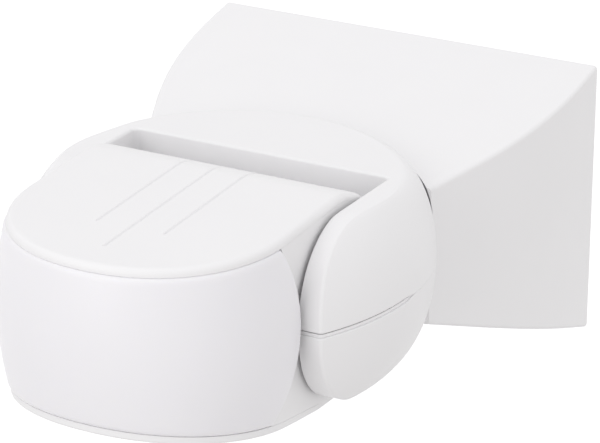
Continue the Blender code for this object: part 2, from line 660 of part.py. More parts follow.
clear_scene()
make_base()
make_back_plate()
make_wiring()
make_neck()
pan_axis = joint_empty("pan_axis", (0, PAN_Y, AXIS_Z))
make_yoke(pan_axis)
tilt_axis = joint_empty("tilt_axis", (0, TILT_Y, AXIS_Z), pan_axis)
make_head_housing(tilt_axis)
make_cap(tilt_axis)
make_bottom_cover(tilt_axis)
make_lens(tilt_axis)
make_sensing(tilt_axis)
make_pivots(tilt_axis)
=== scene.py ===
from math import asin, atan2, copysign, cos, pi, radians, sin, sqrt

import bmesh
import bpy
from mathutils import Matrix, Vector


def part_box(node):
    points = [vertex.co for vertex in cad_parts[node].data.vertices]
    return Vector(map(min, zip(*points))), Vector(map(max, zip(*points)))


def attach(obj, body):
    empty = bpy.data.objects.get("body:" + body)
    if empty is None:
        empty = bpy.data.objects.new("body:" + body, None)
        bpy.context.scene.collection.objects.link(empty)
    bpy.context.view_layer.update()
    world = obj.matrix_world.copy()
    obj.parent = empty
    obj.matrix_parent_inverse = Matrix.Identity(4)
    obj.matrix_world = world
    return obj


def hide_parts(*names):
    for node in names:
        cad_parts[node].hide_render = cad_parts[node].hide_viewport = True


# A wall-mounted motion sensor: a wedge-shaped wall base, a swivel yoke and a tilting sensor head.
# Lengths are millimetres and become metres as each mesh is made. +X is right along the wall, +Y points
# into the wall, +Z is up, and the origin is the centre of the base's back face.

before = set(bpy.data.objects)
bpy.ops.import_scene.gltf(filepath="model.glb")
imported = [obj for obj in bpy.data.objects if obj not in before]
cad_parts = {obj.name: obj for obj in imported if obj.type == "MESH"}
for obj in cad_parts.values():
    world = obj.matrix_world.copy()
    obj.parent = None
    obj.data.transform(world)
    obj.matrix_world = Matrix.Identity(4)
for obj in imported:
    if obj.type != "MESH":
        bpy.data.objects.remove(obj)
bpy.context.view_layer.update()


# ---- Back plate ----
# The flat moulded plate that is screwed to the wall. It has two slots for the wall screws, a round hole
# for the cable, shallow pockets that keep its walls even, and two lugs under it for the cover screws.

MM = 0.001
GAP = 0.3


def node_box(name):
    """Lowest and highest corner of a model node, in millimetres to the nearest thousandth."""
    return [Vector([round(value / MM, 3) for value in corner]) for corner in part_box(name)]


def settle(obj):
    """Makes the modifiers' result the object's own mesh, with smooth shading except at real edges."""
    evaluated = obj.evaluated_get(bpy.context.evaluated_depsgraph_get())
    mesh = bpy.data.meshes.new_from_object(evaluated)
    obj.modifiers.clear()
    obj.data = mesh
    bm = bmesh.new()
    bm.from_mesh(mesh)
    bmesh.ops.remove_doubles(bm, verts=bm.verts, dist=0.004 * MM)
    bmesh.ops.dissolve_degenerate(bm, edges=bm.edges, dist=0.002 * MM)
    bm.to_mesh(mesh)
    bm.free()
    mesh.shade_smooth()
    mesh.set_sharp_from_angle(angle=radians(32))
    return obj


def make_piece(name, bm, material=None):
    """An object from bmesh points in millimetres."""
    bmesh.ops.transform(bm, matrix=Matrix.Scale(MM, 4), verts=bm.verts)
    bmesh.ops.recalc_face_normals(bm, faces=bm.faces)
    mesh = bpy.data.meshes.new(name)
    bm.to_mesh(mesh)
    bm.free()
    obj = bpy.data.objects.new(name, mesh)
    bpy.context.scene.collection.objects.link(obj)
    mesh.materials.append(material)
    mesh.shade_smooth()
    mesh.set_sharp_from_angle(angle=radians(32))
    return obj


def shape(obj, tools, operation="DIFFERENCE"):
    """Cuts these bmesh tools from the object, or joins or meets them with it, and keeps only the result."""
    cutters = [make_piece("tool", bm) for bm in tools]
    for cutter in cutters:
        modifier = obj.modifiers.new("shape", "BOOLEAN")
        modifier.operation = operation
        modifier.object = cutter
    settle(obj)
    for cutter in cutters:
        bpy.data.objects.remove(cutter)
    return obj


def ease_edges(obj, width, angle=38, steps=2):
    """A small round on every edge sharper than the angle, and normals that keep flat faces flat."""
    modifier = obj.modifiers.new("ease", "BEVEL")
    modifier.width = width * MM
    modifier.segments = steps
    modifier.limit_method = "ANGLE"
    modifier.angle_limit = radians(angle)
    modifier.miter_outer = "MITER_ARC"
    settle(obj)
    return flatten_shading(obj)


def flatten_shading(obj):
    modifier = obj.modifiers.new("flat faces", "WEIGHTED_NORMAL")
    modifier.keep_sharp = True
    return obj


def box(low, high, radius=0.0, steps=3):
    """A box, with its edges rounded when a radius is given."""
    bm = bmesh.new()
    bmesh.ops.create_cube(bm, size=1)
    size = Vector(high) - Vector(low)
    middle = (Vector(high) + Vector(low)) / 2
    bmesh.ops.transform(bm, matrix=Matrix.Translation(middle) @ Matrix.Diagonal((*size, 1)), verts=bm.verts)
    if radius:
        bmesh.ops.bevel(bm, geom=bm.edges[:], offset=radius, segments=steps, profile=0.5, affect="EDGES")
    return bm


def arc(centre, radius, start, end, steps):
    """Points on an arc, both ends included, angles in radians."""
    angles = [start + (end - start) * i / steps for i in range(steps + 1)]
    return [(centre[0] + radius * cos(a), centre[1] + radius * sin(a)) for a in angles]


def prism(outline, low, high, axis="Z"):
    """A closed outline extruded along an axis. It is (x, y) for Z, (y, z) for X and (x, z) for Y."""
    place = {
        "X": lambda a, b, c: (c, a, b),
        "Y": lambda a, b, c: (a, c, b),
        "Z": lambda a, b, c: (a, b, c),
    }[axis]
    bm = bmesh.new()
    ends = [[bm.verts.new(place(a, b, level)) for a, b in outline] for level in (low, high)]
    for ring in ends:
        bm.faces.new(ring)
    bmesh.ops.bridge_loops(bm, edges=bm.edges[:])
    return bm


def turned(profile, start, direction, segments=48):
    """A profile of (radius, distance) turned about the line from start along direction; radius 0 is on it."""
    bm = bmesh.new()
    rings = []
    for radius, height in profile:
        if radius == 0:
            rings.append([bm.verts.new((0, 0, height))])
            continue
        angles = [2 * pi * i / segments for i in range(segments)]
        rings.append([bm.verts.new((radius * cos(a), radius * sin(a), height)) for a in angles])
    for one, two in zip(rings, rings[1:] + rings[:1]):
        for i in range(segments):
            j = (i + 1) % segments
            corners = [one[i % len(one)], one[j % len(one)], two[j % len(two)], two[i % len(two)]]
            corners = list(dict.fromkeys(corners))
            if len(corners) > 2:
                bm.faces.new(corners)
    turn = Vector(direction).to_track_quat("Z", "Y").to_matrix().to_4x4()
    bmesh.ops.transform(bm, matrix=Matrix.Translation(start) @ turn, verts=bm.verts)
    return bm


def rod(start, end, radius, segments=48, ease=0.0):
    """A round bar from start to end, with eased ends when asked."""
    line = Vector(end) - Vector(start)
    length = line.length
    first, last = [(radius, 0)], [(radius, length)]
    if ease:
        first = [(radius - ease, 0), (radius, ease)]
        last = [(radius, length - ease), (radius - ease, length)]
    return turned([(0, 0), *first, *last, (0, length)], start, line, segments)


def feed(tree, node, inputs):
    """Sets a node's inputs by name or number. One given as another node's output is linked."""
    for key, value in inputs.items():
        if isinstance(value, bpy.types.NodeSocket):
            tree.links.new(value, node.inputs[key])
        else:
            node.inputs[key].default_value = value


def add_node(tree, kind, inputs=None, **settings):
    """The outputs of a new node with these inputs and settings."""
    node = tree.nodes.new("ShaderNode" + kind)
    for key, value in settings.items():
        setattr(node, key, value)
    feed(tree, node, inputs or {})
    return node.outputs


def maths(tree, operation, *values, **settings):
    return add_node(tree, "Math", dict(enumerate(values)), operation=operation, **settings)[0]


def node_group(name, inputs, outputs):
    """An empty shader node group, with what its named inputs give and the node that takes its outputs."""
    group = bpy.data.node_groups.new(name, "ShaderNodeTree")
    for label, value in inputs.items():
        socket = group.interface.new_socket(label, in_out="INPUT", socket_type="NodeSocketFloat")
        socket.default_value = value
    for label in outputs:
        group.interface.new_socket(label, in_out="OUTPUT", socket_type="NodeSocketFloat")
    return group, group.nodes.new("NodeGroupInput").outputs, group.nodes.new("NodeGroupOutput")


def noise(tree, place, scale, detail, roughness):
    inputs = {"Vector": place, "Scale": scale, "Detail": detail, "Roughness": roughness}
    return add_node(tree, "TexNoise", inputs)["Fac"]


def mould_texture():
    """The fine even grain that a spark-eroded mould leaves, with slightly uneven gloss and tone."""
    inputs = {"Grain per metre": 5200.0, "Roughness": 0.4, "Gloss spread": 0.06}
    group, given, end = node_group("mould texture", inputs, ["Height", "Roughness", "Tone"])
    place = add_node(group, "TexCoord")["Object"]
    grain = noise(group, place, given["Grain per metre"], 3.0, 0.62)
    patches = noise(group, place, 70.0, 4.0, 0.5)
    swing = maths(group, "SUBTRACT", patches, 0.5)
    spread = maths(group, "MULTIPLY_ADD", swing, given["Gloss spread"], given["Roughness"])
    rough = maths(group, "MULTIPLY_ADD", grain, 0.05, spread)
    feed(group, end, {"Height": grain, "Roughness": rough, "Tone": patches})
    return group


def edge_polish():
    """A mask that is high on outward edges, where a moulding is touched most and its grain is worn smooth."""
    group, given, end = node_group("edge polish", {"Sharpness": 9.0}, ["Edge"])
    lift = maths(group, "SUBTRACT", add_node(group, "NewGeometry")["Pointiness"], 0.53)
    feed(group, end, {"Edge": maths(group, "MULTIPLY", lift, given["Sharpness"], use_clamp=True)})
    return group


MOULD_TEXTURE = mould_texture()
EDGE_POLISH = edge_polish()
EDGE_WEAR = 0.08


def new_material(name):
    """A material with its node tree and its shader."""
    material = bpy.data.materials.new(name)
    material.use_nodes = True
    return material, material.node_tree, material.node_tree.nodes["Principled BSDF"]


def two_tones(tree, mask, colour, second):
    """A colour that goes from one tone to the other with a mask."""
    return add_node(tree, "Mix", {0: mask, 6: (*colour, 1), 7: (*second, 1)}, data_type="RGBA")[2]


def raised_grain(tree, height, strength, depth):
    """A bumped normal from a height, with its depth in millimetres."""
    return add_node(tree, "Bump", {"Height": height, "Strength": strength, "Distance": depth * MM})["Normal"]


def moulded_plastic(name, colour, second, roughness, grain=5200.0, depth=0.006, specular=0.45):
    """Moulded plastic: two close tones of one colour, mould grain in gloss and bump, and smoother edges."""
    material, tree, shader = new_material(name)
    values = {"Grain per metre": grain, "Roughness": roughness}
    texture = add_node(tree, "Group", values, node_tree=MOULD_TEXTURE)
    worn = add_node(tree, "Group", node_tree=EDGE_POLISH)["Edge"]
    finish = {
        "Base Color": two_tones(tree, texture["Tone"], colour, second),
        "Roughness": maths(tree, "MULTIPLY_ADD", worn, -EDGE_WEAR, texture["Roughness"]),
        "Specular IOR Level": specular,
        "Normal": raised_grain(tree, texture["Height"], 0.35, depth),
    }
    feed(tree, shader, finish)
    return material


WHITE_PLASTIC = moulded_plastic("white_plastic", (0.868, 0.862, 0.869), (0.852, 0.846, 0.854), 0.43)

PLATE_LOW, PLATE_HIGH = node_box("back_plate")
PLATE_THICKNESS = 3.0
PLATE_BOTTOM = -26.9
CABLE_Z = -14.0
CABLE_HOLE_RADIUS = 8.0
SLOT_X = 32.0
SLOT_TOP_Z = 8
SLOT_BOTTOM_Z = 1
SLOT_RADIUS = 2.4
SLOT_PAD_RADIUS = 4.6
SLOT_PAD_Y = -2.2
POCKET_FLOOR_Y = -0.9
COVER_SCREW_X = 28.0
COVER_SCREW_Y = -9.0
LUG_HALF_WIDTH = 4.0

back_plate = make_piece(
    "wall_plate",
    box((PLATE_LOW.x, -PLATE_THICKNESS, PLATE_BOTTOM), (PLATE_HIGH.x, 0, PLATE_HIGH.z), 0.4, 2),
    WHITE_PLASTIC,
)
lugs = []
for x in (-COVER_SCREW_X, COVER_SCREW_X):
    lug_start = (x - LUG_HALF_WIDTH, COVER_SCREW_Y - LUG_HALF_WIDTH, -21.3)
    lugs.append(box(lug_start, (x + LUG_HALF_WIDTH, -1.5, -16.8), 0.5, 2))
shape(back_plate, lugs, "UNION")
plate_cuts = [rod((0, -9, CABLE_Z), (0, 9, CABLE_Z), CABLE_HOLE_RADIUS)]
for side in (-1, 1):
    for radius, steps, floor_y in ((SLOT_RADIUS, 14, 9), (SLOT_PAD_RADIUS, 18, SLOT_PAD_Y)):
        slot = arc((side * SLOT_X, SLOT_TOP_Z), radius, 0, pi, steps)
        slot += arc((side * SLOT_X, SLOT_BOTTOM_Z), radius, pi, 2 * pi, steps)
        plate_cuts.append(prism(slot, -9, floor_y, "Y"))
    x = side * COVER_SCREW_X
    plate_cuts.append(rod((x, COVER_SCREW_Y, -30), (x, COVER_SCREW_Y, -10), 1.7))
    for low_z, high_z in ((-24.0, -5.5), (11.5, 25.5)):
        for near, far in ((11.0, 24.5), (37.2, 40.2)):
            left, right = sorted((side * near, side * far))
            plate_cuts.append(box((left, POCKET_FLOOR_Y, low_z), (right, 5, high_z), 0.45, 2))
shape(back_plate, plate_cuts)
ease_edges(back_plate, 0.15)
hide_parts("back_plate")
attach(back_plate, "base")


# ---- Gasket and cable grommet ----
# Black rubber parts on the plate: the ring that the base presses on to keep rain out, and the stepped
# grommet snapped into the cable hole, with a soft lip that closes on the cable.

RUBBER = moulded_plastic("rubber", (0.028, 0.028, 0.030), (0.040, 0.040, 0.041), 0.72, 3800.0, 0.02, 0.3)

gasket_low, gasket_high = node_box("base_gasket")
gasket = make_piece("gasket_ring", box(gasket_low, gasket_high, 0.35, 3), RUBBER)
shape(gasket, [box((-40.4, -20, -24.5), (40.4, 10, 25.8), 1.2, 3)])
ease_edges(gasket, 0.2)
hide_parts("base_gasket")
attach(gasket, "base")

barrel = [(5.6, 0.25), (5.9, 0), (7.0, 0), (7.0, 1.5), (7.7, 1.5), (7.7, 4.3), (9.0, 4.3), (9.2, 4.5)]
lip = arc((8.75, 5.15), 0.45, 0, pi / 2, 4) + [(5.0, 5.6), (4.6, 5.3), (4.5, 4.4), (5.2, 3.6)]
grommet_profile = [(radius, distance + POCKET_FLOOR_Y) for radius, distance in barrel + lip + [(5.4, 1.6)]]
grommet_form = turned(grommet_profile, (0, POCKET_FLOOR_Y, CABLE_Z), (0, -1, 0), 64)
grommet = make_piece("cable_gland", grommet_form, RUBBER)
flatten_shading(grommet)
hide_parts("cable_grommet")
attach(grommet, "base")


# ---- Terminal block ----
# The grey three-way block for the mains wires. Each way has a wire hole below, a clamp screw at the front
# in a round well, and a narrow slit between it and the next way.

DARK_GREY, LIGHT_GREY = (0.285, 0.290, 0.298), (0.330, 0.335, 0.343)
GREY_PLASTIC = moulded_plastic("grey_plastic", DARK_GREY, LIGHT_GREY, 0.46, 4600.0, 0.008)
WAY_PITCH = 8.4
WIRE_Y = -11.0
CLAMP_Z = 6.0

block_low, block_high = node_box("terminal_block")
block = make_piece("wire_block", box(block_low, block_high, 0.4, 2), GREY_PLASTIC)
block_cuts = []
for way in (-1, 0, 1):
    x = way * WAY_PITCH
    block_cuts.append(rod((x, WIRE_Y, -5), (x, WIRE_Y, 9), 1.7, 32))
    block_cuts.append(rod((x, -20, CLAMP_Z), (x, -7, CLAMP_Z), 2.3, 40))
for way in (-0.5, 0.5):
    x = way * WAY_PITCH
    block_cuts.append(box((x - 0.3, -17, -2), (x + 0.3, -12.6, 14)))
shape(block, block_cuts)
ease_edges(block, 0.12)
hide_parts("terminal_block")
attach(block, "base")


# ---- Screws ----
# Every screw is one form at its own size: a domed head with a cross or a plain slot, a short plain
# neck and a thread rolled to the tip. Cover, yoke and head screws are zinc-plated, clamp screws are brass.


def metal_surface():
    """Fine turning lines and faint handling marks on plated metal."""
    inputs = {"Lines per metre": 2500.0, "Roughness": 0.28}
    group, given, end = node_group("metal surface", inputs, ["Height", "Roughness", "Tone"])
    place = add_node(group, "TexCoord")["Object"]
    stretch = add_node(group, "Mapping", {"Vector": place, "Scale": (1.0, 1.0, 9.0)})["Vector"]
    lines = noise(group, stretch, given["Lines per metre"], 2.0, 0.6)
    marks = noise(group, place, 420.0, 5.0, 0.65)
    rough = maths(group, "MULTIPLY_ADD", marks, 0.16, given["Roughness"])
    feed(group, end, {"Height": lines, "Roughness": rough, "Tone": marks})
    return group


METAL_SURFACE = metal_surface()


def plated_metal(name, colour, second, roughness):
    """Bright or brass plating in two close tones, with turning lines in gloss and bump."""
    material, tree, shader = new_material(name)
    surface = add_node(tree, "Group", {"Roughness": roughness}, node_tree=METAL_SURFACE)
    finish = {
        "Base Color": two_tones(tree, surface["Tone"], colour, second),
        "Metallic": 1.0,
        "Roughness": surface["Roughness"],
        "Normal": raised_grain(tree, surface["Height"], 0.3, 0.004),
    }
    feed(tree, shader, finish)
    return material


STEEL = plated_metal("steel", (0.66, 0.66, 0.64), (0.52, 0.53, 0.53), 0.22)
BRASS = plated_metal("brass", (0.76, 0.58, 0.28), (0.62, 0.44, 0.18), 0.26)


def loft(rings):
    """Closed rings of equal count joined in order, with flat ends."""
    bm = bmesh.new()
    rings = [[bm.verts.new(point) for point in ring] for ring in rings]
    for one, two in zip(rings, rings[1:]):
        for i in range(len(one)):
            j = (i + 1) % len(one)
            bm.faces.new((one[i], one[j], two[j], two[i]))
    bm.faces.new(rings[0])
    bm.faces.new(rings[-1])
    return bm


def screw(name, node, seat, direction, size, length, body, finish="steel", cross=True):
    """Seat is the point under the head; size is head radius, head height, shank radius, in millimetres."""
    head_radius, head_height, shank_radius = size
    turns_per_mm, around, thread_depth, neck = 1.25, 20, 0.16 * shank_radius, 0.8
    slopes = (1.45, 1.2, 0.9, 0.6, 0.3, 0.0)
    dome = [(head_radius * cos(a), -head_height * (0.35 + 0.65 * sin(a))) for a in slopes]
    profile = dome + [(head_radius, -0.1), (head_radius - 0.1, 0), (shank_radius, 0), (shank_radius, neck)]
    count = int((length - neck) * turns_per_mm * 6)
    for i in range(1, count + 1):
        distance = neck + (length - neck) * i / count
        taper = min(1.0, (length - distance) / (1.6 * shank_radius) * 0.75 + 0.25)
        profile.append((shank_radius * taper, distance))
    rings = []
    for radius, distance in profile:
        ring = []
        for i in range(around):
            angle = 2 * pi * i / around
            wave = abs(((distance * turns_per_mm - i / around) % 1) * 2 - 1)
            reach = radius - (thread_depth * (1 - wave) if distance > neck else 0)
            ring.append((reach * cos(angle), reach * sin(angle), distance))
        rings.append(ring)
    bm = loft(rings)
    turn = Vector(direction).to_track_quat("Z", "Y").to_matrix().to_4x4()
    place = Matrix.Translation(seat) @ turn
    bmesh.ops.transform(bm, matrix=place, verts=bm.verts)
    obj = make_piece(name, bm, {"steel": STEEL, "brass": BRASS}[finish])
    reach, half_slot = head_radius * (0.55 if cross else 1.2), head_radius * 0.12
    recess = []
    for length_x, length_y in ((reach, half_slot), (half_slot, reach))[: 2 if cross else 1]:
        slot = box((-length_x, -length_y, -head_height - 1), (length_x, length_y, -head_height * 0.42))
        bmesh.ops.transform(slot, matrix=place, verts=slot.verts)
        recess.append(slot)
    shape(obj, recess)
    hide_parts(node)
    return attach(obj, body)


CLAMP_SCREW = (2.0, 1.2, 1.3)
COVER_SCREW = (2.7, 1.5, 1.35)
SIDES = ((-1, "left"), (1, "right"))
for way, side in ((-1, "left"), (0, "middle"), (1, "right")):
    names = (f"clamp_screw_{side}", f"terminal_screw_{side}")
    seat = (way * WAY_PITCH, -13.6, CLAMP_Z)
    screw(*names, seat, (0, 1, 0), CLAMP_SCREW, 5.5, "base", "brass", cross=False)
for way, side in SIDES:
    names = (f"base_screw_{side}", f"cover_screw_{side}")
    screw(*names, (way * COVER_SCREW_X, COVER_SCREW_Y, -24.9), (0, 0, 1), COVER_SCREW, 8.5, "base")


# ---- Power board ----
# The mains board stands behind the base's front wall. Its large parts are the relay, the smoothing
# capacitor, the surge disc and the fuse; small resistors and solder joints fill the green board.


def circuit_pattern():
    """Copper tracks under the green lacquer, and a scatter of plated holes."""
    group, given, end = node_group("circuit pattern", {"Track pitch": 420.0}, ["Track", "Pad"])
    place = add_node(group, "TexCoord")["Object"]
    face = add_node(group, "Mapping", {"Vector": place, "Rotation": (pi / 2, 0, 0)})["Vector"]
    bricks = {"Vector": face, "Scale": given["Track pitch"], "Mortar Size": 0.09, "Brick Width": 2.4}
    tracks = add_node(group, "TexBrick", bricks | {"Row Height": 0.6}, offset=0.37, squash=1.6)["Fac"]
    cells = {"Vector": face, "Scale": 330.0, "Randomness": 0.55}
    pads = add_node(group, "TexVoronoi", cells, feature="F1")["Distance"]
    feed(group, end, {"Track": tracks, "Pad": maths(group, "LESS_THAN", pads, 0.2)})
    return group


def board_lacquer():
    """Green lacquer, lighter and glossier over the copper tracks, with bare tinned pads."""
    material, tree, shader = new_material("board")
    pattern = add_node(tree, "Group", node_tree=circuit_pattern())
    green = two_tones(tree, pattern["Track"], (0.02, 0.13, 0.05), (0.05, 0.24, 0.10))
    tin = (0.62, 0.60, 0.52, 1)
    finish = {
        "Base Color": add_node(tree, "Mix", {0: pattern["Pad"], 6: green, 7: tin}, data_type="RGBA")[2],
        "Metallic": pattern["Pad"],
        "Roughness": maths(tree, "MULTIPLY_ADD", pattern["Track"], -0.1, 0.42),
        "Normal": raised_grain(tree, pattern["Track"], 0.5, 0.03),
    }
    feed(tree, shader, finish)
    return material


def red_resin():
    """Red lacquer or dyed resin with slightly uneven tone under a hard gloss."""
    material, tree, shader = new_material("red_glass")
    texture = add_node(tree, "Group", {"Grain per metre": 1400.0, "Roughness": 0.16}, node_tree=MOULD_TEXTURE)
    finish = {
        "Base Color": two_tones(tree, texture["Tone"], (0.50, 0.02, 0.015), (0.63, 0.05, 0.03)),
        "Roughness": texture["Roughness"],
        "Coat Weight": 0.6,
        "Coat Roughness": 0.08,
    }
    feed(tree, shader, finish)
    return material


BOARD = board_lacquer()
RED_GLASS = red_resin()
DARK_PLASTIC = moulded_plastic("dark_plastic", (0.024, 0.025, 0.027), (0.034, 0.035, 0.038), 0.40, 4200.0)
BOARD_FACE_Y = -22.6
RESISTOR_LENGTH = 4.2
RESISTOR_RADIUS = 0.85
RESISTOR_LIFT = 1.15


def refinish(material, *nodes):
    """Gives this material to model nodes that keep their own shape."""
    for node in nodes:
        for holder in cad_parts[node].material_slots:
            holder.material = material


refinish(BOARD, "power_board")
refinish(DARK_PLASTIC, "relay")
refinish(GREY_PLASTIC, "capacitor", "swivel_neck", "swivel_retainer")
refinish(RED_GLASS, "surge_disc")
refinish(WHITE_PLASTIC, "fuse")

resistors = bmesh.new()
for row in range(3):
    for column in range(4):
        x, y, z = -6 + 5.2 * column, BOARD_FACE_Y - RESISTOR_LIFT, -8.6 + 7.2 * row
        body = rod((x, y, z), (x, y, z + RESISTOR_LENGTH), RESISTOR_RADIUS, 16, 0.25)
        copy = bpy.data.meshes.new("resistor")
        body.to_mesh(copy)
        body.free()
        resistors.from_mesh(copy)
        bpy.data.meshes.remove(copy)
resistors = make_piece("board_resistors", resistors, GREY_PLASTIC)
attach(resistors, "base")


# ---- Wall base ----
# The white cover over the plate: a wedge that falls towards the front, with sides that draw in and a
# round cradle in its front for the yoke. It is one moulding, held by the two screws from below.

BASE_LOW, BASE_HIGH = node_box("base_housing")
BASE_DEPTH = -BASE_LOW.y
TOP_FALL = 0.157
BOTTOM_RISE = 0.387
SIDE_DRAFT = radians(21)
SIDE_BEND_DEPTH = 26.8
SIDE_BEND_RADIUS = 100.0
BASE_WALL = 3.4
BASE_CORNER = 0.9

TILT_AXIS_Z = 10.6
PAN_Y = -82.0
PUCK_RADIUS = 41.3
PUCK_FLAT_RADIUS = 34.0
PUCK_TOP = 17.0
PUCK_BOTTOM = 18.2
CRADLE_GAP = 0.36
CRADLE_WALL = 2.5
NECK_HALF_WIDTH = 3.9
NECK_HALF_HEIGHT = 8.3


def side_inset(depth):
    """How far each side has drawn in at this depth: straight, then an arc, then the draft."""
    tangent = SIDE_BEND_RADIUS * sin(SIDE_DRAFT / 2) / cos(SIDE_DRAFT / 2)
    start = SIDE_BEND_DEPTH - tangent
    end = SIDE_BEND_DEPTH + tangent * cos(SIDE_DRAFT)
    if depth <= start:
        return 0.0
    if depth < end:
        return SIDE_BEND_RADIUS - sqrt(SIDE_BEND_RADIUS**2 - (depth - start) ** 2)
    return (depth - SIDE_BEND_DEPTH) * sin(SIDE_DRAFT) / cos(SIDE_DRAFT)


def rounded_rectangle(left, right, low, high, radius, steps=3):
    corners = [(right, high, 0), (left, high, 1), (left, low, 2), (right, low, 3)]
    points = []
    for x, z, quarter in corners:
        centre = (x - radius if x == right else x + radius, z - radius if z == high else z + radius)
        points += arc(centre, radius, quarter * pi / 2, (quarter + 1) * pi / 2, steps)
    return points


def wedge(wall, first, last, corner, count, steps, back_round=0.0):
    """The base's outer form drawn in by a wall thickness, as rounded rectangles joined along the depth."""
    depths = [first + (last - first) * i / count for i in range(count + 1)]
    insets = [wall] * (count + 1)
    if back_round:
        turn = [pi / 2 * i / 4 for i in range(4)]
        depths = [back_round * (1 - cos(a)) for a in turn] + [back_round] + depths[1:]
        insets = [back_round * (1 - sin(a)) for a in turn] + insets
    rings = []
    for depth, inset in zip(depths, insets):
        half = BASE_HIGH.x - side_inset(depth) - inset
        high = BASE_HIGH.z - TOP_FALL * depth - inset
        low = BASE_LOW.z + BOTTOM_RISE * depth + inset
        outline = rounded_rectangle(-half, half, low, high, corner, steps)
        rings.append([(x, -depth, z) for x, z in outline])
    return loft(rings)


def puck_profile(gap, steps):
    """Radius and height round the yoke's bulging side from bottom to top, with a gap all round."""
    points = []
    for i in range(steps + 1):
        angle = -pi / 2 + pi * i / steps
        height = sin(angle) * ((PUCK_TOP if angle > 0 else PUCK_BOTTOM) + gap)
        reach = PUCK_FLAT_RADIUS + gap + (PUCK_RADIUS - PUCK_FLAT_RADIUS) * cos(angle)
        points.append((reach, TILT_AXIS_Z + height))
    return [(0, points[0][1]), *points, (0, points[-1][1])]


def as_tool(obj):
    """A finished object's mesh as a bmesh in millimetres. The object goes."""
    bm = bmesh.new()
    bm.from_mesh(obj.data)
    bmesh.ops.transform(bm, matrix=Matrix.Scale(1 / MM, 4), verts=bm.verts)
    bpy.data.objects.remove(obj)
    return bm


base = make_piece("base_cover", wedge(0, 0, BASE_DEPTH, BASE_CORNER, 36, 6, 0.5), WHITE_PLASTIC)
shape(base, [turned(puck_profile(CRADLE_GAP, 36), (0, PAN_Y, 0), (0, 0, 1), 200)])
hollow = make_piece("hollow", wedge(BASE_WALL, -1, BASE_DEPTH - 6, 1.0, 14, 3))
shape(hollow, [rod((0, PAN_Y, -60), (0, PAN_Y, 60), PUCK_RADIUS + CRADLE_GAP + CRADLE_WALL, 96)])
recess = box((PLATE_LOW.x - GAP, -4.9, PLATE_BOTTOM - GAP), (PLATE_HIGH.x + GAP, 1, PLATE_HIGH.z + GAP))
neck_low, neck_high = TILT_AXIS_Z - NECK_HALF_HEIGHT, TILT_AXIS_Z + NECK_HALF_HEIGHT
window = box((-NECK_HALF_WIDTH, -44, neck_low), (NECK_HALF_WIDTH, -30, neck_high))
shape(base, [as_tool(hollow), recess, window])
bosses, holes = [], []
for x in (-COVER_SCREW_X, COVER_SCREW_X):
    foot, y = (x, COVER_SCREW_Y, -40), COVER_SCREW_Y
    bosses.append(rod((x, y, -25.7), (x, y, -21.6), 4.0))
    holes.append(rod(foot, (x, y, -10), 1.8))
    holes.append(rod(foot, (x, y, -24.6), 3.1))
shape(base, bosses, "UNION")
shape(base, holes)
ease_edges(base, 0.2)
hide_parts("base_housing")
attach(base, "base")


# ---- Swivel neck screws ----
# The grey neck passes from the base into the yoke. Two screws pull the curved retainer inside the yoke
# against it, so the yoke pans with a light drag.

NECK_SCREW = (2.0, 1.4, 1.05)
for way, side in ((-1, "lower"), (1, "upper")):
    seat = (0, -48.1, TILT_AXIS_Z + way * 6.1)
    screw(f"neck_screw_{side}", f"retainer_screw_{side}", seat, (0, 1, 0), NECK_SCREW, 8, "base")


# ---- Yoke ----
# Two white shells that meet at the height of the tilt axis in a fine shadow groove. Their outside is a
# bulged puck, and two arms with round noses reach forward on either side of the slot for the head.

TILT_Y = -90.0
ARM_RADIUS = 18.4
SLOT_HALF_WIDTH = 28.9
SLOT_BACK_Y = -69.0
SLOT_CORNER = 1.4
NOSE_ROUND = 1.1
NOSE_TURN = radians(36)
NOSE_POWER = 2.2
ARM_RISE = 1.3
ARM_DROP = 1.35
ARM_LENGTH_RADIUS = 46.0
EDGE_ROUND = 0.55
UPPER_START = 0.36
LOWER_START = 0.62
PARTING_ROUND = 0.22
LEDGE_INSET = 0.26
SHELL_WALL = 2.2
CAVITY_RADIUS = 36.8
CAVITY_BOTTOM = -15.4
CAVITY_TOP = 14.0
PAN_SWING = radians(22.6)
PIN_HOLE_RADIUS = 4.08
PIN_HOLE_END = 33.5


def smooth_step(value, low, high):
    t = max(0.0, min(1.0, (value - low) / (high - low)))
    return t * t * (3 - 2 * t)


def side_radius(height, turn):
    """The bulged side's radius. Upper arms keep a firmer edge at the top than the puck's rear does."""
    tallest = PUCK_TOP if height > 0 else PUCK_BOTTOM
    fullness = max(0.0, 1 - (height / tallest) ** 2)
    turn = min(turn, pi - turn)
    power = 0.5
    if height > 0:
        power += 0.3 * (1 - smooth_step(turn, radians(2), radians(30)))
    radius = PUCK_FLAT_RADIUS + (PUCK_RADIUS - PUCK_FLAT_RADIUS) * fullness**power
    forward = max(0.0, -sin(turn))
    return radius / sqrt(1 - forward**2 * (1 - (PUCK_RADIUS / ARM_LENGTH_RADIUS) ** 2))


def raised(y, height):
    """The arms are a little taller than the puck, above and below, and grow to that height along the slot."""
    if height > 0:
        return height * (1 + ARM_RISE / PUCK_TOP * smooth_step(-y, 68.0, 90.0))
    return height * (1 + ARM_DROP / PUCK_BOTTOM * smooth_step(-y, 70.0, 98.0))


def closed_behind(y, height):
    """The groove between the shells runs along the arms only. Behind them the shells close to a hairline."""
    near_groove = max(0.0, min(1.0, (3.4 - abs(height)) / 2.6))
    return 1 - 0.96 * near_groove * smooth_step(y - PAN_Y, -4.5, -0.5)


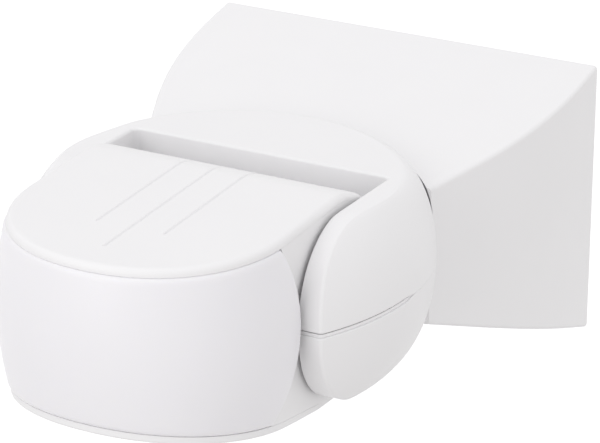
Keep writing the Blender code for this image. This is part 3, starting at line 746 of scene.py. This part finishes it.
def yoke_ring(height, inset=0.0, lip=0.0):
    """Plan of the yoke at a height above the tilt axis. Lip widens the slot at rounded edges."""
    tallest = PUCK_TOP if height > 0 else PUCK_BOTTOM
    share = abs(height / tallest)
    nose = TILT_Y - PAN_Y - ARM_RADIUS * (1 - share**NOSE_POWER) ** (1 / NOSE_POWER) + inset
    inner = SLOT_HALF_WIDTH + lip
    nose_round = NOSE_ROUND * (1 - 0.7 * share**8)
    centre_y = nose + nose_round
    start = -NOSE_TURN
    for _ in range(6):
        centre_x = sqrt((side_radius(height, start) - inset - nose_round) ** 2 - centre_y**2)
        start = atan2(centre_y, centre_x)
    count = 150
    points = []
    for i in range(count + 1):
        turn = start + (pi - 2 * start) * i / count
        radius = side_radius(height, turn) - inset
        points.append((radius * cos(turn), radius * sin(turn)))
    corner = 0.35
    left_nose = arc((-centre_x, centre_y), nose_round, pi - start, 3 * pi / 2, 9)[1:]
    left_nose += arc((-inner - corner, nose + corner), corner, -pi / 2, 0, 3)
    rear = SLOT_BACK_Y - PAN_Y + lip
    pocket = arc((-inner + SLOT_CORNER, rear - SLOT_CORNER), SLOT_CORNER, pi, pi / 2, 8)
    pocket += arc((inner - SLOT_CORNER, rear - SLOT_CORNER), SLOT_CORNER, pi / 2, 0, 8)
    right_nose = [(-x, y) for x, y in reversed(left_nose)]
    loop = points + left_nose + pocket + right_nose
    placed = [(x, PAN_Y + y) for x, y in loop]
    return [(x, y, TILT_AXIS_Z + raised(y, height) * closed_behind(y, height)) for x, y in placed]


def yoke_half(tallest, sign):
    """One shell's skin, ring by ring outwards from the parting groove, where the lower shell has a ledge."""
    first = UPPER_START if sign > 0 else LOWER_START
    angles = [radians(3 * i) for i in range(31)]
    heights = {round(max(first, tallest * sin(angle)), 4) for angle in angles}
    quarter = [radians(15 * i) for i in range(7)]
    heights |= {round(tallest - EDGE_ROUND * (1 - cos(angle)), 4) for angle in quarter}
    heights |= {round(first + PARTING_ROUND * (1 - cos(angle)), 4) for angle in quarter}
    rings = []
    if sign < 0:
        ledge = [(0.12, 0.9), (0.12, LEDGE_INSET + 0.05), (0.07, LEDGE_INSET)]
        ledge += [(-0.42, LEDGE_INSET), (-0.56, 0.44)]
        rings = [yoke_ring(height, inset) for height, inset in ledge]
    for height in sorted(heights):
        edge = max(0.0, EDGE_ROUND - (tallest - height))
        parting = max(0.0, PARTING_ROUND - (height - first))
        lip = EDGE_ROUND - sqrt(EDGE_ROUND**2 - edge**2)
        chamfer = PARTING_ROUND - sqrt(PARTING_ROUND**2 - parting**2)
        rings.append(yoke_ring(sign * height, chamfer, lip))
    return loft(rings)


def arm_outline(radius, reach=24):
    """Side view of everything behind the tilt axis with a round end of this radius in front of it."""
    outline = [(-20, TILT_AXIS_Z + reach), (TILT_Y, TILT_AXIS_Z + reach)]
    outline += arc((TILT_Y, TILT_AXIS_Z), radius, pi / 2, 3 * pi / 2, 48)
    return outline + [(TILT_Y, TILT_AXIS_Z - reach), (-20, TILT_AXIS_Z - reach)]


def pocket_outline(half_width, back, corner):
    """Plan of the slot between the arms, open to the front."""
    right = arc((half_width - corner, back - corner), corner, 0, pi / 2, 6)
    left = arc((corner - half_width, back - corner), corner, pi / 2, pi, 6)
    return right + left + [(-half_width, -140), (half_width, -140)]


def yoke_cavity():
    """The hollow inside both shells, clear of the slot's walls and of the arms' noses."""
    profile = [(0, CAVITY_BOTTOM), (CAVITY_RADIUS, CAVITY_BOTTOM), (CAVITY_RADIUS, 12.4), (34.6, CAVITY_TOP)]
    profile += [(0, CAVITY_TOP)]
    cavity = make_piece("cavity", turned(profile, (0, PAN_Y, TILT_AXIS_Z), (0, 0, 1), 96))
    shape(cavity, [prism(arm_outline(ARM_RADIUS - SHELL_WALL), -50, 50, "X")], "INTERSECT")
    pocket = pocket_outline(SLOT_HALF_WIDTH + SHELL_WALL, SLOT_BACK_Y + SHELL_WALL, 2.0)
    return shape(cavity, [prism(pocket, -50, 70)])


def neck_slot():
    """The way through the shells' rear wall that lets the yoke swing on the neck."""
    reach = asin(3.6 / CAVITY_RADIUS) + PAN_SWING
    slot = arc((0, PAN_Y), 48, pi / 2 - reach, pi / 2 + reach, 24)
    slot += arc((0, PAN_Y), 33, pi / 2 + reach, pi / 2 - reach, 24)
    return prism(slot, neck_low, neck_high)


YOKE_SCREW_X = 22.0
YOKE_SCREW_Y = -61.5
for tallest, sign, name, node in (
    (PUCK_TOP, 1, "upper_yoke", "yoke_upper_shell"),
    (PUCK_BOTTOM, -1, "lower_yoke", "yoke_lower_shell"),
):
    shell = make_piece(name, yoke_half(tallest, sign), WHITE_PLASTIC)
    pin_ends = [(x, TILT_Y, TILT_AXIS_Z) for x in (-PIN_HOLE_END, PIN_HOLE_END)]
    pins = rod(*pin_ends, PIN_HOLE_RADIUS, 64)
    for tool in (as_tool(yoke_cavity()), neck_slot(), pins):
        shape(shell, [tool])
    posts, bores = [], []
    for x in (-YOKE_SCREW_X, YOKE_SCREW_X):
        y = YOKE_SCREW_Y
        low, high, radius = (0.6, 15.0, 3.6) if sign > 0 else (-16.4, -0.6, 4.2)
        posts.append(rod((x, y, TILT_AXIS_Z + low), (x, y, TILT_AXIS_Z + high), radius))
        bores.append(rod((x, y, -20), (x, y, TILT_AXIS_Z + 10), 1.7))
        if sign < 0:
            bores.append(rod((x, y, -20), (x, y, TILT_AXIS_Z - 14.5), 3.1))
    shape(shell, posts, "UNION")
    shape(shell, bores)
    flatten_shading(shell)
    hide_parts(node)
    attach(shell, "yoke")

SHELL_SCREW = (2.7, 1.8, 1.35)
for way, side in SIDES:
    seat = (way * YOKE_SCREW_X, YOKE_SCREW_Y, TILT_AXIS_Z - 14.8)
    screw(f"shell_screw_{side}", f"yoke_screw_{side}", seat, (0, 0, 1), SHELL_SCREW, 23, "yoke")


# ---- Sensing parts and pins ----
# A small board across the head behind the lens. The heat sensor's metal can sits at the lens's centre
# with its dark window, and below it are the red lamp and the light cell. The head hangs on two steel pins.

refinish(BOARD, "sensor_board")
refinish(STEEL, "heat_sensor", "tilt_pin_left", "tilt_pin_right")
refinish(DARK_PLASTIC, "sensor_window")
refinish(RED_GLASS, "indicator_lamp")
refinish(BRASS, "light_cell")
refinish(RUBBER, "tilt_washer_left", "tilt_washer_right")


# ---- Head body ----
# The white body of the head: two flat cheeks, a round drum at the back that turns in the slot, and a
# hollow for the board. Its front edges are cut round to take the lens, and the pins pass through its cheeks.

HEAD_HALF_WIDTH = 28.1
HEAD_FRONT_Y = -110.5
PLAN_POWER = 0.93
HEAD_WALL = 1.8
DRUM_RADIUS = 20.5
CAP_THICKNESS = 1.6
CAP_TAIL_ANGLE = radians(17)
UNDERSIDE_Y = -117.0
UNDERSIDE_Z = -18.2
UNDERSIDE_SLOPE = 0.19
COVER_THICKNESS = 1.6
COVER_FRONT_Y = -111.2
COVER_BACK_Y = -98.0
UNDER_NORMAL = Vector((0, -UNDERSIDE_SLOPE, -1)).normalized()
HEAD_SCREW_X = 24.3
HEAD_SCREW_Y = -103.2
LENS_EDGE_Y = -141.0
LENS_EDGE_Z = 3.7
LENS_EDGE_RADIUS = 31.25
HAIRLINE = 0.03
HEEL_START = radians(72)
HEEL_END = radians(94)
HEEL_RISE = 1.42
TAIL_DROP = 0.5
REAR_LIFT = 0.45
REAR_LIFT_START = -113.4


def underside(y):
    return TILT_AXIS_Z + UNDERSIDE_Z - UNDERSIDE_SLOPE * (y - UNDERSIDE_Y)


def rear_line(y):
    """The underside's height where it flattens a little towards the back."""
    return underside(y) + REAR_LIFT * max(0.0, (y - REAR_LIFT_START) / (COVER_BACK_Y - REAR_LIFT_START))


def seam(y):
    """Height of the joint between the head's body and its bottom cover."""
    return underside(y) + COVER_THICKNESS


def full_round(turn):
    """Sideways and forward share of a front a little fuller than a circle; turn 0 is straight ahead."""
    across = copysign(abs(sin(turn)) ** PLAN_POWER, sin(turn))
    return across, copysign(abs(cos(turn)) ** PLAN_POWER, cos(turn))


def head_plan(half_width, centre_y, back=-60.0, steps=96):
    """Plan of the head: straight cheeks and a round front that is a little fuller than a circle."""
    points = []
    for i in range(steps + 1):
        across, ahead = full_round(pi * i / steps - pi / 2)
        points.append((half_width * across, centre_y - half_width * ahead))
    return points + [(half_width, back), (-half_width, back)]


def drum_arc(offset, start, end, steps):
    """The drum's side view between two angles. It draws in a little at the back and swells at the heel."""
    points = []
    for i in range(steps + 1):
        angle = start + (end - start) * i / steps
        radius = DRUM_RADIUS - TAIL_DROP * smooth_step(pi / 2 - angle, 0.0, radians(24))
        radius += (HEEL_RISE + TAIL_DROP) * smooth_step(-angle, HEEL_START, HEEL_END)
        points.append((TILT_Y + (radius - offset) * cos(angle), TILT_AXIS_Z + (radius - offset) * sin(angle)))
    return points


HEAD_SCREW_FEET = [Vector((side * HEAD_SCREW_X, HEAD_SCREW_Y, underside(HEAD_SCREW_Y))) for side in (-1, 1)]
tilt_axis = (TILT_Y, TILT_AXIS_Z)
under_cap = CAP_THICKNESS + HAIRLINE
tail = CAP_TAIL_ANGLE - GAP / DRUM_RADIUS
cover_end = COVER_BACK_Y + HAIRLINE
side_view = [(-150, TILT_AXIS_Z + DRUM_RADIUS - under_cap)]
side_view += drum_arc(under_cap, pi / 2, tail, 40) + drum_arc(0.0, tail, -HEEL_END, 70)
side_view += [(cover_end, rear_line(cover_end)), (cover_end, seam(cover_end) + HAIRLINE)]
side_view += [(-150, seam(-150) + HAIRLINE)]
head = make_piece("head_body", prism(head_plan(HEAD_HALF_WIDTH, HEAD_FRONT_Y), -40, 60), WHITE_PLASTIC)
shape(head, [prism(side_view, -60, 60, "X")], "INTERSECT")
inner_radius = DRUM_RADIUS - CAP_THICKNESS - GAP - HEAD_WALL
ahead_above, ahead_below = 4, 10
above, below = (sqrt(inner_radius**2 - ahead**2) for ahead in (ahead_above, ahead_below))
room_start, room_end = atan2(above, -ahead_above), atan2(-below, -ahead_below)
room = [(-150, 45), (TILT_Y - ahead_above, 45), *arc(tilt_axis, inner_radius, room_start, room_end, 36)]
room += [(TILT_Y - ahead_below, -30), (-150, -30)]
inside = make_piece("inside", prism(head_plan(HEAD_HALF_WIDTH - HEAD_WALL, HEAD_FRONT_Y, -40), -45, 65))
shape(inside, [prism(room, -50, 50, "X")], "INTERSECT")
lens_z = TILT_AXIS_Z + LENS_EDGE_Z
lens_end = rod((-50, LENS_EDGE_Y, lens_z), (50, LENS_EDGE_Y, lens_z), LENS_EDGE_RADIUS + GAP, 180)
shape(head, [as_tool(inside), lens_end, rod((-40, *tilt_axis), (40, *tilt_axis), 4.3)])
posts, bores = [], []
for foot in HEAD_SCREW_FEET:
    posts.append(rod(foot - UNDER_NORMAL * (COVER_THICKNESS + 2 * GAP), foot - UNDER_NORMAL * 15, 2.9))
    bores.append(rod(foot, foot - UNDER_NORMAL * 12, 1.3))
shape(head, posts, "UNION")
shape(head, bores)
ease_edges(head, 0.3)
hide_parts("head_housing")
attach(head, "head")


# ---- Top cap ----
# The cap covers the head's level top and bends down over the drum at the back. Its rim is rounded, and
# three fine grooves are moulded along its middle. It is glued on, so no screws show.

CAP_RIM = 1.25
GROOVE_PITCH = 7.2
GROOVE_FRONTS = (-121.0, -130.5, -120.8)
GROOVE_DEPTH = 0.34
GROOVE_WIDTH = 0.62
GROOVE_TAIL = radians(64)
CUTTER_HEIGHT = 2 * GROOVE_DEPTH


def cap_rim():
    """Places round the cap's edge, from one tail end to the other: a point at full height, out and up."""
    places = []
    turns = [CAP_TAIL_ANGLE + (pi / 2 - CAP_TAIL_ANGLE) * i / 30 for i in range(31)]
    for turn in turns:
        up = Vector((0, cos(turn), sin(turn)))
        y, z = drum_arc(0.0, turn, turn, 1)[0]
        places.append((Vector((HEAD_HALF_WIDTH, y, z)), Vector((1, 0, 0)), up))
    top = TILT_AXIS_Z + DRUM_RADIUS
    up = Vector((0, 0, 1))
    for i in range(1, 8):
        y = TILT_Y + (HEAD_FRONT_Y - TILT_Y) * i / 8
        places.append((Vector((HEAD_HALF_WIDTH, y, top)), Vector((1, 0, 0)), up))
    right = []
    for i in range(49):
        turn = pi / 2 * (1 - i / 48)
        across, ahead = full_round(turn)
        point = Vector((HEAD_HALF_WIDTH * across, HEAD_FRONT_Y - HEAD_HALF_WIDTH * ahead, top))
        lean = 2 - PLAN_POWER
        right.append((point, Vector((sin(turn) ** lean, -max(0.0, cos(turn)) ** lean, 0)).normalized(), up))
    places += right
    mirrored = [(Vector((-p.x, p.y, p.z)), Vector((-o.x, o.y, o.z)), u) for p, o, u in reversed(places[:-1])]
    return places + mirrored


def cap_form():
    """The cap as strips: underside, upright edge, rounded rim, a narrow margin, and the top joined across."""
    section = [(-2.6, -CAP_THICKNESS), (0, -CAP_THICKNESS), (0, -CAP_RIM)]
    turns = [pi / 2 * i / 7 for i in range(1, 8)]
    section += [(CAP_RIM * (cos(a) - 1), CAP_RIM * (sin(a) - 1)) for a in turns]
    section += [(-CAP_RIM - 0.5, 0)]
    bm = bmesh.new()
    rings = []
    for point, out, up in cap_rim():
        rings.append([bm.verts.new(point + out * o + up * h) for o, h in section])
    for one, two in zip(rings, rings[1:]):
        for i in range(len(section) - 1):
            bm.faces.new((one[i], one[i + 1], two[i + 1], two[i]))
    last = len(rings) - 1
    tail_steps = 38
    for k in (0, len(section) - 1):
        for i in range(tail_steps):
            bm.faces.new((rings[i][k], rings[i + 1][k], rings[last - i - 1][k], rings[last - i][k]))
        bm.faces.new([ring[k] for ring in rings[tail_steps : last - tail_steps + 1]])
    bm.faces.new(rings[0] + rings[last][::-1])
    return bm


def groove_tool(x, front):
    """A V-shaped cutter that runs back from the groove's front end and follows the bend over the drum."""
    top = TILT_AXIS_Z + DRUM_RADIUS
    line = [(Vector((x, front - 0.25, top + 0.1)), Vector((0, 0, 1)))]
    line += [(Vector((x, front + 0.25, top - GROOVE_DEPTH)), Vector((0, 0, 1)))]
    for i in range(21):
        turn = pi / 2 + (GROOVE_TAIL - pi / 2) * i / 20
        up = Vector((0, cos(turn), sin(turn)))
        fade = GROOVE_DEPTH * (1 - smooth_step(i, 16, 20)) - (0.12 if i == 20 else 0)
        y, z = drum_arc(fade, turn, turn, 1)[0]
        line.append((Vector((x, y, z)), up))
    rings = []
    for point, up in line:
        side = Vector((GROOVE_WIDTH, 0, 0)) * CUTTER_HEIGHT / (2 * GROOVE_DEPTH)
        high = point + up * CUTTER_HEIGHT
        rings.append([point, high + side, high - side])
    return loft(rings)


cap = make_piece("top_cap", cap_form(), WHITE_PLASTIC)
shape(cap, [groove_tool((i - 1) * GROOVE_PITCH, front) for i, front in enumerate(GROOVE_FRONTS)])
flatten_shading(cap)
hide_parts("head_top_cap")
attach(cap, "head")


# ---- Lens ----
# One thin milky band of soft plastic wraps the front of the head and bulges like a barrel. Its ends are
# round where they meet the cheeks. It is smoother and cooler in tone than the body around it.

LENS_RADIUS = 28.4
LENS_TOP_Y = -110.7
LENS_BOTTOM_Y = -111.3
LENS_BULGE = 2.1
LENS_FRONT_BULGE = 1.4
LENS_WALL = 1.2
LENS_GAP = 0.03


def milky_plastic():
    """Smooth soft plastic with a cool tone, which lets a little light in below its surface."""
    cool, cooler = (0.890, 0.878, 0.905), (0.875, 0.864, 0.892)
    material = moulded_plastic("lens_plastic", cool, cooler, 0.30, 2600.0, 0.002)
    depth = {"Subsurface Weight": 0.25, "Subsurface Radius": (0.9, 0.9, 1.0), "Subsurface Scale": 1.0 * MM}
    feed(material.node_tree, material.node_tree.nodes["Principled BSDF"], depth)
    return material


def lens_row(height, inset, steps):
    """One row of the lens: height 0 is its lower edge and 1 its upper edge; its ends lie on the end arc."""
    centre_y = LENS_BOTTOM_Y + (LENS_TOP_Y - LENS_BOTTOM_Y) * height
    swell = 4 * height * (1 - height)
    half_width = LENS_RADIUS + LENS_BULGE * swell
    depth = LENS_RADIUS + LENS_FRONT_BULGE * swell
    top = TILT_AXIS_Z + DRUM_RADIUS - CAP_THICKNESS - LENS_GAP

    def level(y):
        return (seam(y) + LENS_GAP) * (1 - height) + top * height

    end_y = centre_y
    for _ in range(12):
        offset = level(end_y) - TILT_AXIS_Z - LENS_EDGE_Z
        end_y = LENS_EDGE_Y + sqrt(LENS_EDGE_RADIUS**2 - offset**2)
    behind = (end_y - centre_y) / depth
    reach = pi / 2 + asin(copysign(abs(behind) ** (1 / PLAN_POWER), behind))
    points = []
    for i in range(steps + 1):
        across, ahead = full_round(-reach + 2 * reach * i / steps)
        y = centre_y - (depth - inset) * ahead
        points.append(((half_width - inset) * across, y, level(y)))
    return points


def lens_form():
    """A closed thin band with a small round along its outer edges."""
    rows, steps, edge = 44, 110, 0.3
    bm = bmesh.new()
    shares = [i / rows for i in range(rows + 1)]
    outer_rows, inner_rows = [], []
    for share in shares:
        rim = min(share, 1 - share) * 36.0
        drop = edge - sqrt(max(0.0, edge**2 - max(0.0, edge - rim) ** 2))
        outer_rows.append([bm.verts.new(p) for p in lens_row(share, drop, steps)])
        inner_rows.append([bm.verts.new(p) for p in lens_row(share, LENS_WALL, steps)])
    for row in range(rows):
        for i in range(steps):
            for grid in (outer_rows, inner_rows):
                bm.faces.new((grid[row][i], grid[row][i + 1], grid[row + 1][i + 1], grid[row + 1][i]))
        outer, inner = outer_rows[row : row + 2], inner_rows[row : row + 2]
        for i in (0, steps):
            bm.faces.new((outer[0][i], outer[1][i], inner[1][i], inner[0][i]))
    for i in range(steps):
        for outer, inner in ((outer_rows[0], inner_rows[0]), (outer_rows[rows], inner_rows[rows])):
            bm.faces.new((outer[i], outer[i + 1], inner[i + 1], inner[i]))
    return bm


lens = make_piece("lens_band", lens_form(), milky_plastic())
ease_edges(lens, 0.5, 50, 3)
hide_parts("lens")
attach(lens, "head")


# ---- Bottom cover ----
# The thin white cover under the head. It slopes up to the front, closes the hollow below the lens, and
# has round holes for the three setting knobs and two sunk seats for its screws.

COVER_RIM = 0.5
KNOB_X = {"time_knob": -11.0, "light_level_knob": 0.0, "range_knob": 11.0}
KNOB_Y = -121.0
KNOB_RADIUS = 3.7
MARK_RING_RADIUS = 5.0


def cover_form():
    """Rings of the cover's outline that step in round the lower rim, set on the sloping underside."""
    levels = [(0.1, COVER_THICKNESS), (0.0, COVER_THICKNESS - 0.1), (0.0, COVER_RIM)]
    turns = [pi / 2 * i / 7 for i in range(1, 8)]
    levels += [(COVER_RIM * (1 - cos(a)), COVER_RIM * (1 - sin(a))) for a in turns]
    levels += [(COVER_RIM + 0.5, 0)]
    rings = []
    for inset, lift in levels:
        outline = head_plan(HEAD_HALF_WIDTH - inset, COVER_FRONT_Y, COVER_BACK_Y)
        rings.append([(x, y, underside(y) + lift) for x, y in outline])
    return loft(rings)


cover = make_piece("bottom_cover", cover_form(), WHITE_PLASTIC)
lift_start = (REAR_LIFT_START, underside(REAR_LIFT_START))
rear_slice = [(REAR_LIFT_START, -60), lift_start, (-90, rear_line(-90)), (-90, -60)]
cover_cuts = [prism(rear_slice, -40, 40, "X")]
for foot in HEAD_SCREW_FEET:
    cover_cuts.append(rod(foot + UNDER_NORMAL * 5, foot - UNDER_NORMAL * 5, 1.4))
    cover_cuts.append(rod(foot + UNDER_NORMAL * 5, foot - UNDER_NORMAL * 0.9, 2.6))
for x in KNOB_X.values():
    centre = Vector((x, KNOB_Y, underside(KNOB_Y)))
    cover_cuts.append(rod(centre + UNDER_NORMAL * 6, centre - UNDER_NORMAL * 6, KNOB_RADIUS + GAP))
    for step in range(11):
        turn = radians(-135 + 27 * step)
        mark = centre + Vector((sin(turn), -cos(turn), UNDERSIDE_SLOPE * cos(turn))) * MARK_RING_RADIUS
        cover_cuts.append(rod(mark + UNDER_NORMAL * 2, mark - UNDER_NORMAL * 0.25, 0.28, 16))
shape(cover, cover_cuts)
flatten_shading(cover)
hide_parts("head_bottom_cover")
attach(cover, "head")

HEAD_SCREW = (2.3, 1.1, 1.0)
for foot, (_, side) in zip(HEAD_SCREW_FEET, SIDES):
    seat = foot - UNDER_NORMAL * 0.6
    screw(f"cover_fix_{side}", f"head_screw_{side}", seat, -UNDER_NORMAL, HEAD_SCREW, 10, "head")


# ---- Setting knobs ----
# Three small grey knobs for time, light level and range. Each has a fluted edge, a screwdriver slot and a
# pointer at one end of the slot, and turns between its end stops inside the ring of dots.

for name, x in KNOB_X.items():
    centre = Vector((x, KNOB_Y, underside(KNOB_Y)))
    turn = (-UNDER_NORMAL).to_track_quat("Z", "Y").to_matrix().to_4x4()
    flutes, around = 18, 108
    rings = []
    for radius, lift, flute in (
        (1.5, 7.5, 0),
        (1.5, 2.6, 0),
        (KNOB_RADIUS, 2.6, 0),
        (KNOB_RADIUS, 0.5, 0),
        (KNOB_RADIUS - 0.05, 0.35, 0.08),
        (KNOB_RADIUS - 0.05, -0.85, 0.16),
        (KNOB_RADIUS - 0.15, -1.1, 0.12),
        (KNOB_RADIUS - 0.45, -1.3, 0.0),
    ):
        ring = []
        for i in range(around):
            angle = 2 * pi * i / around
            reach = radius - flute * (0.5 + 0.5 * cos(flutes * angle))
            ring.append((reach * cos(angle), reach * sin(angle), lift))
        rings.append(ring)
    knob_mesh = loft(rings)
    bmesh.ops.transform(knob_mesh, matrix=Matrix.Translation(centre) @ turn, verts=knob_mesh.verts)
    knob = make_piece(name.replace("_knob", "_dial"), knob_mesh, GREY_PLASTIC)
    slot_floor = underside(KNOB_Y) - 0.6
    pointer = [(x - 0.75, KNOB_Y - 1.6), (x + 0.75, KNOB_Y - 1.6), (x, KNOB_Y - 3.1)]
    slot = box((x - 0.5, KNOB_Y - 2.6, -40), (x + 0.5, KNOB_Y + 2.6, slot_floor))
    shape(knob, [slot, prism(pointer, -40, slot_floor)])
    flatten_shading(knob)
    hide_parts(name)
    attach(knob, name)


# ---- Studio ----
# The sensor hangs free over a pale floor far below, in even white light that falls off to the left, with
# two large soft lamps in front and above. The camera looks down on its right front corner.

FLOOR_Z = -1.5
floor_mesh = bmesh.new()
bmesh.ops.create_grid(floor_mesh, x_segments=1, y_segments=1, size=20000)
bmesh.ops.translate(floor_mesh, verts=floor_mesh.verts, vec=(0, 0, FLOOR_Z / MM))
floor_paint, floor_tree, floor_shader = new_material("floor_paint")
floor_finish = {
    "Base Color": (0.97, 0.97, 0.97, 1),
    "Roughness": 0.9,
    "Specular IOR Level": 0.0,
    "Emission Color": (1, 1, 1, 1),
    "Emission Strength": 0.22,
}
feed(floor_tree, floor_shader, floor_finish)
floor = make_piece("floor", floor_mesh, floor_paint)
floor.visible_diffuse = False

world = bpy.data.worlds.new("studio")
bpy.context.scene.world = world
world.use_nodes = True
sky = world.node_tree
direction = add_node(sky, "TexCoord")["Generated"]
height = add_node(sky, "SeparateXYZ", {0: direction})["Z"]
ramp = sky.nodes.new("ShaderNodeValToRGB")
tones = ramp.color_ramp.elements
tones[0].color = (0.57, 0.555, 0.55, 1)
tones[1].color = (0.98, 0.98, 0.99, 1)
tones.new(0.5).color = (0.925, 0.917, 0.915, 1)
feed(sky, ramp, {0: maths(sky, "MULTIPLY_ADD", height, 0.5, 0.5)})
leftward = add_node(sky, "VectorMath", {0: direction, 1: (-0.889, -0.458, 0.0)}, operation="DOT_PRODUCT")
limits = {0: leftward["Value"], 1: 0.55, 2: 1.0, 3: 0.97, 4: 0.6}
shade = add_node(sky, "MapRange", limits, interpolation_type="SMOOTHSTEP")[0]
feed(sky, sky.nodes["Background"], {"Color": ramp.outputs[0], "Strength": shade})

for name, size, power, place in (
    ("front_lamp", 1.6, 7.6, (-0.5, -1.65, 0.45)),
    ("top_lamp", 1.2, 1.9, (-0.45, -0.55, 1.6)),
):
    lamp_data = bpy.data.lights.new(name, "AREA")
    lamp_data.shape = "DISK"
    lamp_data.size = size
    lamp_data.energy = power
    lamp = bpy.data.objects.new(name, lamp_data)
    bpy.context.scene.collection.objects.link(lamp)
    lamp.location = place
    lamp.rotation_euler = (Vector((0, -0.07, 0)) - lamp.location).to_track_quat("-Z", "Y").to_euler()

camera_data = bpy.data.cameras.new("camera")
camera_data.sensor_width = 36.0
camera_data.lens = 183.1
camera = bpy.data.objects.new("camera", camera_data)
bpy.context.scene.collection.objects.link(camera)
camera.location = (0.2679, -0.5711, 0.2596)
camera.rotation_euler = (radians(90 - 23.49), 0, radians(27.27))
bpy.context.scene.camera = camera
bpy.context.scene.view_settings.view_transform = "Standard"
